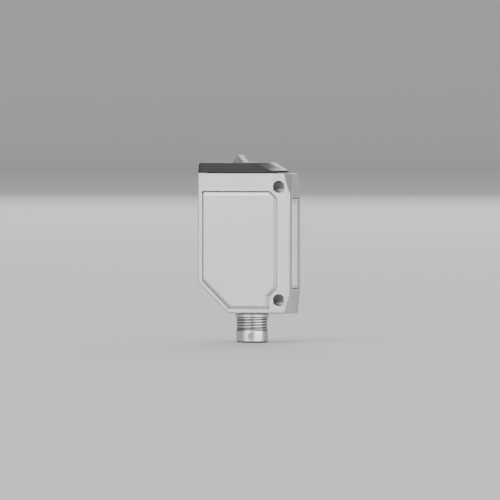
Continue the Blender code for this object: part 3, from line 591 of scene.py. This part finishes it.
plugValues = {
    "axis": (-11.75 * mm, -8.0 * mm, -25.2 * mm),
    "shank": 9.2 * mm,
    "shankBore": 8.2 * mm,
    "shankTop": 3.15 * mm,
    "collar": 12.4 * mm,
    "collarTop": -0.3 * mm,
    "collarBottom": -1.4 * mm,
    "crest": 11.9 * mm,
    "core": 10.8 * mm,
    "pitch": 1.0 * mm,
    "crestFlat": 0.36 * mm,
    "rootSpread": 0.80 * mm,
    "overCrest": 0.05 * mm,
    "underRoot": 0.15 * mm,
    "runIn": 0.3 * mm,
    "runInDrop": 0.25 * mm,
    "runOut": 0.4 * mm,
    "threadBottom": -6.15 * mm,
    "pilot": 11.6 * mm,
    "end": -10.4 * mm,
    "endChamfer": 0.35 * mm,
    "socket": 9.2 * mm,
    "socketFloor": -1.5 * mm,
    "stepsPerTurn": 72,
    "spot": {"radius": 1.2 * mm, "depth": 0.16 * mm, "azimuth": 10, "height": -8.25 * mm, "cutter": 1.0 * mm},
    # painted shade colour for the thread's roots
    "rootShadeColour": (0.26, 0.255, 0.25),
    "finish": {
        "base": (0.66, 0.655, 0.64), "secondBase": (0.70, 0.69, 0.67), "metallic": 1.0,
        "roughness": 0.32, "roughnessSpread": 0.05, "cloudScale": 60, "grainScale": 900,
        "grainDepth": 0.004 * mm, "stretch": (0.15, 0.15, 9.0),
    },
}


def makeThread(values):
    # one tooth's outline, screwed down past both ends of the threaded length
    over, under = values["overCrest"], values["underRoot"]
    reach, root = values["crest"] / 2 + over, values["core"] / 2 - under
    wide, narrow = values["rootSpread"] / 2, values["crestFlat"] / 2
    slope = (wide - narrow) / (values["crest"] / 2 - values["core"] / 2)
    outer, inner = narrow - slope * over, wide + slope * under
    deselectAll()
    bpy.ops.mesh.primitive_plane_add(size=1)
    tooth = bpy.context.object
    tooth.name = "threadTooth"
    corners = [(root, -inner), (reach, -outer), (root, inner), (reach, outer)]
    for vertex, (x, z) in zip(tooth.data.vertices, corners):
        vertex.co = (x, 0, z + values["collarBottom"] + 0.8 * values["pitch"])
    enterEdit(tooth)
    bpy.ops.mesh.select_all(action="SELECT")
    bpy.ops.mesh.delete(type="ONLY_FACE")
    leaveEdit()
    turns = math.ceil((values["collarBottom"] - values["threadBottom"]) / values["pitch"]) + 2
    applyModifier(
        tooth, "SCREW", axis="Z", angle=-2 * math.pi, screw_offset=-values["pitch"], iterations=turns,
        steps=values["stepsPerTurn"], render_steps=values["stepsPerTurn"], use_merge_vertices=True,
        merge_threshold=0.0005 * mm,
    )
    enterEdit(tooth)
    bpy.ops.mesh.select_all(action="DESELECT")
    bpy.ops.mesh.select_non_manifold()
    bpy.ops.mesh.edge_face_add()
    bpy.ops.mesh.select_all(action="SELECT")
    bpy.ops.mesh.normals_make_consistent(inside=False)
    leaveEdit()
    return tooth


def darkenRoots(material, values):
    # painted shade in the thread's roots: the tone darkens towards the plug's axis, following the distance from
    # it
    tree = material.node_tree
    shader = tree.nodes["Principled BSDF"]
    toneLink = shader.inputs["Base Color"].links[0].from_socket
    place = tree.nodes.new("ShaderNodeTexCoord")
    fromAxis = tree.nodes.new("ShaderNodeVectorMath")
    fromAxis.operation = "SUBTRACT"
    fromAxis.inputs[1].default_value = values["axis"]
    flat = tree.nodes.new("ShaderNodeVectorMath")
    flat.operation = "MULTIPLY"
    flat.inputs[1].default_value = (1, 1, 0)
    radius = tree.nodes.new("ShaderNodeVectorMath")
    radius.operation = "LENGTH"
    tree.links.new(place.outputs["Object"], fromAxis.inputs[0])
    tree.links.new(fromAxis.outputs[0], flat.inputs[0])
    tree.links.new(flat.outputs[0], radius.inputs[0])
    core, crest = values["core"] / 2, values["crest"] / 2
    outOfRootShade = spread(tree, radius.outputs["Value"], 0, 1, core + 0.05 * mm, core + 0.75 * (crest - core))
    mix = tree.nodes.new("ShaderNodeMix")
    mix.data_type = "RGBA"
    mix.inputs["A"].default_value = (*values["rootShadeColour"], 1)
    tree.links.new(outOfRootShade, mix.inputs["Factor"])
    tree.links.new(toneLink, mix.inputs["B"])
    tree.links.new(mix.outputs["Result"], shader.inputs["Base Color"])


def makePlugSleeve(values):
    shank, bore = values["shank"] / 2, values["shankBore"] / 2
    collar, core, crest = values["collar"] / 2, values["core"] / 2, values["crest"] / 2
    pilot, socket = values["pilot"] / 2, values["socket"] / 2
    chamfer = values["endChamfer"]
    edge = chamfer / 2
    top, bottom = values["collarTop"], values["collarBottom"]
    threadEnd, end = values["threadBottom"], values["end"]
    profile = [
        (bore, values["shankTop"]),
        (shank - edge, values["shankTop"]),
        (shank, values["shankTop"] - edge),
        (shank, top),
        (collar - edge, top),
        (collar, top - edge),
        (collar, bottom + edge),
        (collar - edge, bottom),
        (core, bottom),
        (core, threadEnd),
        (pilot - edge, threadEnd),
        (pilot, threadEnd - 2 * edge),
        (pilot, end + chamfer),
        (pilot - chamfer, end),
        (socket + edge, end),
        (socket, end + edge),
        (socket, values["socketFloor"]),
        (bore, values["socketFloor"]),
    ]
    sleeve = turnedRing("plugSleeve", profile)
    thread = makeThread(values)
    envelope = turnedRing("threadEnvelope", [
        (core - 0.1 * mm, bottom + 0.02 * mm),
        (crest - values["runInDrop"], bottom + 0.02 * mm),
        (crest, bottom - values["runIn"]),
        (crest, threadEnd + values["runOut"]),
        (core - 0.1 * mm, threadEnd - 0.05 * mm),
    ], segments=144)
    combine(thread, envelope, "INTERSECT")
    combine(sleeve, thread, "UNION")

    spot = values["spot"]  # a flat round spot, milled into the pilot
    away = math.radians(spot["azimuth"])
    out = pilot - spot["depth"] + spot["cutter"] / 2
    deselectAll()
    bpy.ops.mesh.primitive_cylinder_add(vertices=64, radius=spot["radius"], depth=spot["cutter"])
    cutter = bpy.context.object
    movePiece(cutter, (math.sin(away) * out, -math.cos(away) * out, spot["height"]), (math.pi / 2, 0, away))
    combine(sleeve, cutter, "DIFFERENCE")

    movePiece(sleeve, values["axis"])
    smoothSurface(sleeve, 32)
    nickel = grainedFinish("turnedNickel", values["finish"])
    # painted shade in the thread's roots
    darkenRoots(nickel, values)
    paint(sleeve, nickel)
    finishPiece(sleeve, "connector_shell")


makePlugSleeve(plugValues)
print("plug sleeve finished")


# Seals: black rubber, all four alike

sealValues = {
    "edge": 0.06 * mm,
    "rubber": {
        "base": (0.016, 0.016, 0.016), "secondBase": (0.028, 0.028, 0.028), "roughness": 0.62,
        "roughnessSpread": 0.10, "cloudScale": 300, "grainScale": 5200, "grainDepth": 0.010 * mm,
    },
}


def makeSeals(values):
    rubber = grainedFinish("sealRubber", values["rubber"])
    for nodeName, pieceName in (("cover_gasket", "coverSeal"), ("window_gasket", "windowSeal"),
                                ("cap_gasket", "capSeal"), ("connector_seal", "plugSeal")):
        piece = copyOfNode(nodeName, pieceName)
        softenEdges(piece, values["edge"])
        smoothSurface(piece)
        paint(piece, rubber)
        finishPiece(piece, nodeName)


makeSeals(sealValues)
print("seals finished")


# Lens, lens holder and emitter

opticsValues = {
    "lensEdge": 0.08 * mm,
    "holderEdge": 0.12 * mm,
    "emitterEdge": 0.05 * mm,
    "footSize": (0.26 * mm, 0.60 * mm, 0.45 * mm),
    "footSpread": 1.15 * mm,
    "footEdge": 0.04 * mm,
    "acrylic": {
        "base": (0.93, 0.93, 0.95), "secondBase": (0.89, 0.90, 0.94), "roughness": 0.05,
        "roughnessSpread": 0.02, "cloudScale": 120, "grainScale": 1800, "grainDepth": 0.001 * mm,
    },
    "holder": {
        "base": (0.020, 0.020, 0.021), "secondBase": (0.028, 0.028, 0.029), "roughness": 0.48,
        "roughnessSpread": 0.08, "cloudScale": 180, "grainScale": 4200, "grainDepth": 0.010 * mm,
    },
    "epoxy": {
        "base": (0.30, 0.26, 0.42), "secondBase": (0.34, 0.30, 0.46), "roughness": 0.10,
        "roughnessSpread": 0.03, "cloudScale": 400, "grainScale": 2400, "grainDepth": 0.001 * mm,
    },
    "tin": {
        "base": (0.72, 0.72, 0.70), "secondBase": (0.62, 0.62, 0.61), "metallic": 1.0,
        "roughness": 0.30, "roughnessSpread": 0.08, "cloudScale": 900, "grainScale": 5000,
        "grainDepth": 0.003 * mm,
    },
}

tinPlate = grainedFinish("tinPlate", opticsValues["tin"])


def makeBlock(name, size, centre):
    deselectAll()
    bpy.ops.mesh.primitive_cube_add(size=1)
    block = bpy.context.object
    block.name = name
    block.scale = size
    movePiece(block, centre)
    return block


def copiesAt(piece, places):
    # one piece modelled, then copied to each place, every copy with its own mesh
    copies = []
    for spot, turn in places:
        makeActive(piece)
        bpy.ops.object.duplicate(linked=False)
        copies.append(bpy.context.object)
        movePiece(copies[-1], spot, turn)
    bpy.data.objects.remove(piece, do_unlink=True)
    return copies


def makeLens(values):
    piece = copyOfNode("lens", "beamLens")
    softenEdges(piece, values["lensEdge"], angle=50)
    smoothSurface(piece, 30)
    paint(piece, grainedFinish("clearAcrylic", values["acrylic"], Transmission_Weight=1.0, IOR=1.49))
    finishPiece(piece, "lens")


def makeLensHolder(values):
    piece = copyOfNode("lens_holder", "lensHolder")
    softenEdges(piece, values["holderEdge"])
    smoothSurface(piece)
    paint(piece, grainedFinish("holderPlastic", values["holder"]))
    finishPiece(piece, "lens_holder")


def makeEmitter(values):
    body = copyOfNode("emitter_led", "emitterBody")
    low, high = boxOf(body)
    softenEdges(body, values["emitterEdge"], angle=50)
    smoothSurface(body, 35)
    paint(body, grainedFinish("violetEpoxy", values["epoxy"], Transmission_Weight=0.6, IOR=1.52))
    foot = makeBlock("solderFoot", values["footSize"], (0, 0, 0))
    softenEdges(foot, values["footEdge"])
    paint(foot, tinPlate)
    middle = (low + high) / 2
    out = values["footSpread"]
    back = low.x - values["footSize"][0] / 2
    places = [((back, middle.y + y, middle.z + z), (0, 0, 0)) for y in (-out, out) for z in (-out, out)]
    piece = joinPieces([body] + copiesAt(foot, places), "beamEmitter")
    finishPiece(piece, "emitter_led")


makeLens(opticsValues)
makeLensHolder(opticsValues)
makeEmitter(opticsValues)
print("optics finished")


# Circuit boards: green mask with fine traces, bare laminate at the edges, tinned pads

boardValues = {
    "edge": 0.04 * mm,
    "mask": (0.012, 0.105, 0.040),
    "secondMask": (0.014, 0.120, 0.046),
    "trace": (0.030, 0.190, 0.075),
    "traceScale": 520.0,
    "traceWidth": 0.012,
    "traceHeight": 0.02 * mm,
    "roughness": 0.34,
    "laminate": {
        "base": (0.46, 0.40, 0.20), "secondBase": (0.36, 0.32, 0.16), "roughness": 0.70,
        "roughnessSpread": 0.06, "cloudScale": 600, "grainScale": 3500, "grainDepth": 0.020 * mm,
    },
    "padRadius": 0.45 * mm,
    "padHeight": 0.05 * mm,
    "padEdge": 0.015 * mm,
    "boardFace": -3.5 * mm,
    "padColumn": -17.2 * mm,
    "padHeights": [14.0 * mm, 11.5 * mm, 9.0 * mm, -9.0 * mm, -11.5 * mm, -14.0 * mm, -16.5 * mm],
    "resistorSize": (1.0 * mm, 0.35 * mm, 0.5 * mm),
    "resistorCaps": 1.4,
    "resistorEdge": 0.03 * mm,
    "resistorColumn": -19.6 * mm,
    "resistorHeights": [15.0 * mm, 13.2 * mm, 11.4 * mm, 7.6 * mm, 5.8 * mm, 1.4 * mm, -0.4 * mm, -2.2 * mm],
    "resistorCeramic": {
        "base": (0.020, 0.020, 0.024), "secondBase": (0.035, 0.035, 0.040), "roughness": 0.35,
        "roughnessSpread": 0.06, "cloudScale": 2000, "grainScale": 6000, "grainDepth": 0.003 * mm,
    },
}


def maskMaterial(name, values, turn):
    # the brick joints stand in for traces: thin, straight and stepped
    material, tree, shader = newMaterial(name, values["mask"], values["roughness"], Coat_Weight=0.3)
    place = tree.nodes.new("ShaderNodeTexCoord")
    mapping = tree.nodes.new("ShaderNodeMapping")
    mapping.inputs["Rotation"].default_value = turn
    bricks = tree.nodes.new("ShaderNodeTexBrick")
    bricks.offset = 0.37
    bricks.squash = 1.6
    bricks.squash_frequency = 3
    bricks.inputs["Scale"].default_value = values["traceScale"]
    bricks.inputs["Mortar Size"].default_value = values["traceWidth"]
    bricks.inputs["Color1"].default_value = (*values["mask"], 1)
    bricks.inputs["Color2"].default_value = (*values["secondMask"], 1)
    bricks.inputs["Mortar"].default_value = (*values["trace"], 1)
    tree.links.new(place.outputs["Object"], mapping.inputs["Vector"])
    tree.links.new(mapping.outputs["Vector"], bricks.inputs["Vector"])
    tree.links.new(bricks.outputs["Color"], shader.inputs["Base Color"])
    addBump(tree, shader, bricks.outputs["Fac"], values["traceHeight"])
    return material


def makeBoard(nodeName, pieceName, axis, turn, values):
    # axis is the board's thin way: its broad faces get the mask, its edges the bare laminate
    piece = copyOfNode(nodeName, pieceName)
    softenEdges(piece, values["edge"], segments=1)
    smoothSurface(piece)
    paint(piece, maskMaterial(pieceName + "Mask", values, turn), laminateEdge)
    paintSecond(piece, lambda face: abs(face.normal[axis]) <= facing)
    return piece


def makeResistor(values):
    # a dark ceramic block whose two ends are drawn out a little into tinned caps
    resistor = makeBlock("chipResistor", values["resistorSize"], (0, 0, 0))
    selectIn(resistor, "FACE", lambda face: abs(face.normal.x) > facing)
    bpy.ops.mesh.extrude_region()
    bpy.ops.transform.resize(value=(values["resistorCaps"], 1, 1), center_override=(0, 0, 0))
    leaveEdit()
    softenEdges(resistor, values["resistorEdge"], segments=1)
    paint(resistor, resistorCeramic, tinPlate)
    half = values["resistorSize"][0] / 2
    paintSecond(resistor, lambda face: abs(face.center.x) > half)
    return resistor


def makePad(values):
    deselectAll()
    bpy.ops.mesh.primitive_cylinder_add(vertices=32, radius=values["padRadius"], depth=values["padHeight"])
    pad = bpy.context.object
    pad.name = "tinnedPad"
    placeInMesh(pad)
    softenEdges(pad, values["padEdge"], segments=1)
    smoothSurface(pad)
    paint(pad, tinPlate)
    return pad


def makeMainBoard(values):
    board = makeBoard("main_board", "mainBoard", 1, (math.pi / 2, 0, 0), values)
    face = values["boardFace"]
    lift = face - values["padHeight"] / 2
    padPlaces = [((values["padColumn"], lift, z), (math.pi / 2, 0, 0)) for z in values["padHeights"]]
    lift = face - values["resistorSize"][1] / 2
    resistorPlaces = [((values["resistorColumn"], lift, z), (0, 0, 0)) for z in values["resistorHeights"]]
    extras = copiesAt(makePad(values), padPlaces) + copiesAt(makeResistor(values), resistorPlaces)
    finishPiece(joinPieces([board] + extras, "mainBoard"), "main_board")


laminateEdge = grainedFinish("laminateEdge", boardValues["laminate"])
resistorCeramic = grainedFinish("resistorCeramic", boardValues["resistorCeramic"])
makeMainBoard(boardValues)
finishPiece(makeBoard("emitter_board", "emitterBoard", 0, (0, math.pi / 2, 0), boardValues),
            "emitter_board")
finishPiece(makeBoard("plug_board", "plugBoard", 2, (0, 0, 0), boardValues), "plug_board")
print("boards finished")


# Chips, with bent leads that reach down to the board

leadTurns = {"right": 0, "left": math.pi, "below": math.pi / 2, "above": -math.pi / 2}

controllerValues = {
    "edge": 0.08 * mm,
    "leadThickness": 0.10 * mm,
    "leadPath": [(-0.05, 0.72), (0.12, 0.72), (0.24, 0.07), (0.50, 0.07)],
    "rows": [
        {"side": side, "count": 6, "pitch": 0.7 * mm, "width": 0.26 * mm}
        for side in ("right", "left", "below", "above")
    ],
    "dotRadius": 0.35 * mm,
    "dotDepth": 0.05 * mm,
    "dotInset": 0.9 * mm,
    "epoxy": {
        "base": (0.015, 0.015, 0.016), "secondBase": (0.022, 0.022, 0.023), "roughness": 0.50,
        "roughnessSpread": 0.08, "cloudScale": 500, "grainScale": 5200, "grainDepth": 0.010 * mm,
    },
}

regulatorValues = {
    "edge": 0.10 * mm,
    "leadThickness": 0.14 * mm,
    "leadPath": [(-0.05, 0.85), (0.14, 0.85), (0.22, 0.09), (0.55, 0.09)],
    "rows": [
        {"side": "below", "count": 3, "pitch": 1.35 * mm, "width": 0.45 * mm},
        {"side": "above", "count": 1, "pitch": 1.0 * mm, "width": 2.2 * mm,
         "path": [(-0.05, 0.38), (0.42, 0.38)]},
    ],
    "epoxy": {
        "base": (0.020, 0.020, 0.020), "secondBase": (0.028, 0.028, 0.028), "roughness": 0.46,
        "roughnessSpread": 0.08, "cloudScale": 500, "grainScale": 4600, "grainDepth": 0.010 * mm,
    },
}

transistorValues = {
    "edge": 0.07 * mm,
    "leadThickness": 0.10 * mm,
    "leadPath": [(-0.05, 0.70), (0.12, 0.70), (0.20, 0.07), (0.45, 0.07)],
    "rows": [
        {"side": "below", "count": 2, "pitch": 1.9 * mm, "width": 0.38 * mm},
        {"side": "above", "count": 1, "pitch": 1.0 * mm, "width": 0.38 * mm},
    ],
    "epoxy": {
        "base": (0.014, 0.014, 0.015), "secondBase": (0.020, 0.020, 0.021), "roughness": 0.44,
        "roughnessSpread": 0.08, "cloudScale": 700, "grainScale": 5600, "grainDepth": 0.008 * mm,
    },
}


def bentStrip(name, width, thickness, path):
    # one edge drawn out from point to point, in mm outwards and up, and then given its thickness
    deselectAll()
    bpy.ops.mesh.primitive_plane_add(size=width)
    strip = bpy.context.object
    strip.name = name
    selectIn(strip, "VERT", lambda vertex: vertex.co.x < 0)
    bpy.ops.mesh.delete(type="VERT")
    bpy.ops.mesh.select_all(action="SELECT")
    lastX, lastZ = path[0][0] * mm, path[0][1] * mm
    bpy.ops.transform.translate(value=(lastX - width / 2, 0, lastZ))
    for x, z in path[1:]:
        bpy.ops.mesh.extrude_region()
        bpy.ops.transform.translate(value=(x * mm - lastX, 0, z * mm - lastZ))
        lastX, lastZ = x * mm, z * mm
    leaveEdit()
    applyModifier(strip, "SOLIDIFY", thickness=thickness, offset=0, use_even_offset=True)
    softenEdges(strip, thickness / 6, segments=1)
    paint(strip, tinPlate)
    return strip


def addLeads(body, low, high, values):
    middle = (low + high) / 2
    board = boardValues["boardFace"]
    leads = []
    for row in values["rows"]:
        strip = bentStrip("lead", row["width"], values["leadThickness"], row.get("path", values["leadPath"]))
        turn = (math.pi / 2, leadTurns[row["side"]], 0)
        places = []
        for number in range(row["count"]):
            along = (number - (row["count"] - 1) / 2) * row["pitch"]
            if row["side"] in ("right", "left"):
                places.append(((high.x if row["side"] == "right" else low.x, board, middle.z + along), turn))
            else:
                places.append(((middle.x + along, board, high.z if row["side"] == "above" else low.z), turn))
        leads += copiesAt(strip, places)
    return joinPieces([body] + leads, body.name)


def makeChip(nodeName, pieceName, values):
    body = copyOfNode(nodeName, pieceName)
    low, high = boxOf(body)
    softenEdges(body, values["edge"])
    if "dotRadius" in values:  # the round dimple that marks the first lead
        deselectAll()
        depth = 2 * values["dotDepth"]
        bpy.ops.mesh.primitive_cylinder_add(vertices=32, radius=values["dotRadius"], depth=depth)
        dot = bpy.context.object
        inset = values["dotInset"]
        movePiece(dot, (low.x + inset, low.y, high.z - inset), (math.pi / 2, 0, 0))
        combine(body, dot, "DIFFERENCE")
    smoothSurface(body)
    paint(body, grainedFinish(pieceName + "Epoxy", values["epoxy"]))
    finishPiece(addLeads(body, low, high, values), nodeName)


makeChip("controller_chip", "controllerChip", controllerValues)
makeChip("voltage_regulator", "voltageRegulator", regulatorValues)
makeChip("driver_transistor", "driverTransistor", transistorValues)
print("chips finished")


# Capacitors, choke and signal light

capacitorValues = {
    "edge": 0.12 * mm,
    "stripe": 0.75 * mm,
    "leadThickness": 0.10 * mm,
    "leadPath": [(0.02, 1.15), (0.07, 1.05), (0.07, 0.07), (-0.75, 0.07)],
    "rows": [
        {"side": "right", "count": 1, "pitch": 1.0 * mm, "width": 1.9 * mm},
        {"side": "left", "count": 1, "pitch": 1.0 * mm, "width": 1.9 * mm},
    ],
    "case": {
        "base": (0.52, 0.37, 0.07), "secondBase": (0.58, 0.42, 0.10), "roughness": 0.42,
        "roughnessSpread": 0.06, "cloudScale": 700, "grainScale": 4200, "grainDepth": 0.010 * mm,
    },
    "band": {
        "base": (0.16, 0.07, 0.02), "secondBase": (0.20, 0.09, 0.03), "roughness": 0.40,
        "roughnessSpread": 0.06, "cloudScale": 700, "grainScale": 4200, "grainDepth": 0.006 * mm,
    },
}

chokeValues = {
    "edge": 0.10 * mm,
    "coreRadius": 1.5 * mm,
    "wire": 0.22 * mm,
    "turns": 6,
    "ferrite": {
        "base": (0.035, 0.034, 0.036), "secondBase": (0.055, 0.053, 0.055), "roughness": 0.66,
        "roughnessSpread": 0.10, "cloudScale": 800, "grainScale": 3800, "grainDepth": 0.020 * mm,
    },
    "copper": {
        "base": (0.62, 0.20, 0.07), "secondBase": (0.50, 0.15, 0.05), "metallic": 0.9,
        "roughness": 0.28, "roughnessSpread": 0.05, "cloudScale": 900, "grainScale": 3000,
        "grainDepth": 0.002 * mm,
    },
}

signalLightValues = {
    "edge": 0.08 * mm,
    "baseHeight": 0.55 * mm,
    "leadThickness": 0.09 * mm,
    "leadPath": [(0.02, 0.62), (0.07, 0.55), (0.07, 0.07), (-0.45, 0.07)],
    "rows": [
        {"side": "right", "count": 1, "pitch": 1.0 * mm, "width": 0.9 * mm},
        {"side": "left", "count": 1, "pitch": 1.0 * mm, "width": 0.9 * mm},
    ],
    "cup": {
        "base": (0.78, 0.78, 0.74), "secondBase": (0.72, 0.72, 0.68), "roughness": 0.45,
        "roughnessSpread": 0.05, "cloudScale": 900, "grainScale": 4000, "grainDepth": 0.004 * mm,
    },
    "window": {
        "base": (0.78, 0.83, 0.68), "secondBase": (0.70, 0.76, 0.60), "roughness": 0.14,
        "roughnessSpread": 0.04, "cloudScale": 900, "grainScale": 3000, "grainDepth": 0.002 * mm,
    },
}


def splitAcross(piece, point, normal):
    # a loop of edges across the piece, so that the part beyond it can take another colour
    enterEdit(piece)
    bpy.ops.mesh.select_all(action="SELECT")
    bpy.ops.mesh.bisect(plane_co=point, plane_no=normal)
    leaveEdit()


def makeCapacitor(nodeName, pieceName, case, band, values):
    body = copyOfNode(nodeName, pieceName)
    low, high = boxOf(body)
    softenEdges(body, values["edge"])
    edge = low.x + values["stripe"]
    splitAcross(body, (edge, 0, 0), (1, 0, 0))
    smoothSurface(body)
    paint(body, case, band)
    paintSecond(body, lambda face: face.center.x < edge)
    finishPiece(addLeads(body, low, high, values), nodeName)


def makeChoke(values):
    body = copyOfNode("choke", "powerChoke")
    low, high = boxOf(body)
    middle = (low + high) / 2
    softenEdges(body, values["edge"])
    smoothSurface(body, 30)
    paint(body, grainedFinish("darkFerrite", values["ferrite"]))
    wire = values["wire"]
    deselectAll()
    bpy.ops.mesh.primitive_torus_add(major_segments=48, minor_segments=10,
                                     major_radius=values["coreRadius"] + 0.55 * wire, minor_radius=wire / 2)
    ring = bpy.context.object
    ring.name = "copperTurn"
    smoothSurface(ring)
    paint(ring, grainedFinish("enamelledCopper", values["copper"]))
    first = middle.y - wire * (values["turns"] - 1) / 2
    levels = [first + wire * number for number in range(values["turns"])]
    places = [((middle.x, level, middle.z), (math.pi / 2, 0, 0)) for level in levels]
    piece = joinPieces([body] + copiesAt(ring, places), "powerChoke")
    finishPiece(piece, "choke")


def makeSignalLight(values):
    body = copyOfNode("indicator_led", "signalLight")
    low, high = boxOf(body)
    softenEdges(body, values["edge"])
    level = high.y - values["baseHeight"]
    splitAcross(body, (0, level, 0), (0, 1, 0))
    smoothSurface(body)
    window = grainedFinish("milkyEpoxy", values["window"], Transmission_Weight=0.3, IOR=1.52)
    paint(body, window, grainedFinish("whiteCup", values["cup"]))
    paintSecond(body, lambda face: face.center.y > level)
    finishPiece(addLeads(body, low, high, values), "indicator_led")


tantalumCase = grainedFinish("tantalumCase", capacitorValues["case"])
polarityBand = grainedFinish("polarityBand", capacitorValues["band"])
makeCapacitor("filter_capacitor_1", "filterCapacitorOne", tantalumCase, polarityBand, capacitorValues)
makeCapacitor("filter_capacitor_2", "filterCapacitorTwo", tantalumCase, polarityBand, capacitorValues)
makeChoke(chokeValues)
makeSignalLight(signalLightValues)
print("small board parts finished")


# Contact insert with its raised numbers, and the four gold contacts

insertValues = {
    "edge": 0.10 * mm,
    "faceLevel": -34.0 * mm,
    "numberSize": 1.0 * mm,
    "numberRadius": 3.68 * mm,
    "numberRise": 0.10 * mm,
    "plastic": {
        "base": (0.018, 0.018, 0.019), "secondBase": (0.026, 0.026, 0.027), "roughness": 0.44,
        "roughnessSpread": 0.08, "cloudScale": 200, "grainScale": 4200, "grainDepth": 0.008 * mm,
    },
}

contactValues = {
    "edge": 0.10 * mm,
    "gold": {
        "base": (0.84, 0.60, 0.24), "secondBase": (0.78, 0.54, 0.20), "metallic": 1.0,
        "roughness": 0.20, "roughnessSpread": 0.04, "cloudScale": 500, "grainScale": 2200,
        "grainDepth": 0.002 * mm, "stretch": (0.3, 0.3, 4.0),
    },
}


def makeNumber(number, values, floor):
    # read from below, beside its contact and in line with it
    deselectAll()
    bpy.ops.object.text_add()
    sign = bpy.context.object
    sign.data.body = str(number)
    sign.data.size = values["numberSize"]
    sign.data.extrude = values["numberRise"] / 2
    sign.data.align_x = "CENTER"
    sign.data.align_y = "CENTER"
    bpy.ops.object.convert(target="MESH")
    around = math.pi / 2 * (number - 0.5)
    axis = plugValues["axis"]
    out = values["numberRadius"]
    movePiece(sign, (axis[0] + out * math.cos(around), axis[1] + out * math.sin(around), floor),
              (math.pi, 0, 0))
    enterEdit(sign)
    bpy.ops.mesh.select_all(action="SELECT")
    bpy.ops.mesh.remove_doubles(threshold=0.001 * mm)
    bpy.ops.mesh.normals_make_consistent(inside=False)
    leaveEdit()
    return sign


def makeContactInsert(values):
    body = copyOfNode("contact_carrier", "contactInsert")
    softenEdges(body, values["edge"], angle=40)
    smoothSurface(body, 32)
    plastic = grainedFinish("insertPlastic", values["plastic"])
    paint(body, plastic)
    level = values["faceLevel"] - values["numberRise"] * 0.3
    signs = [makeNumber(number, values, level) for number in (1, 2, 3, 4)]
    for sign in signs:
        paint(sign, plastic)
    finishPiece(joinPieces([body] + signs, "contactInsert"), "contact_carrier")


def makeContacts(values):
    gold = grainedFinish("goldPlate", values["gold"])
    for number in (1, 2, 3, 4):
        pin = copyOfNode("contact_pin_" + str(number), "contactPin" + str(number))
        softenEdges(pin, values["edge"])
        smoothSurface(pin, 35)
        paint(pin, gold)
        finishPiece(pin, "contact_pin_" + str(number))


makeContactInsert(insertValues)
makeContacts(contactValues)
print("contacts finished")
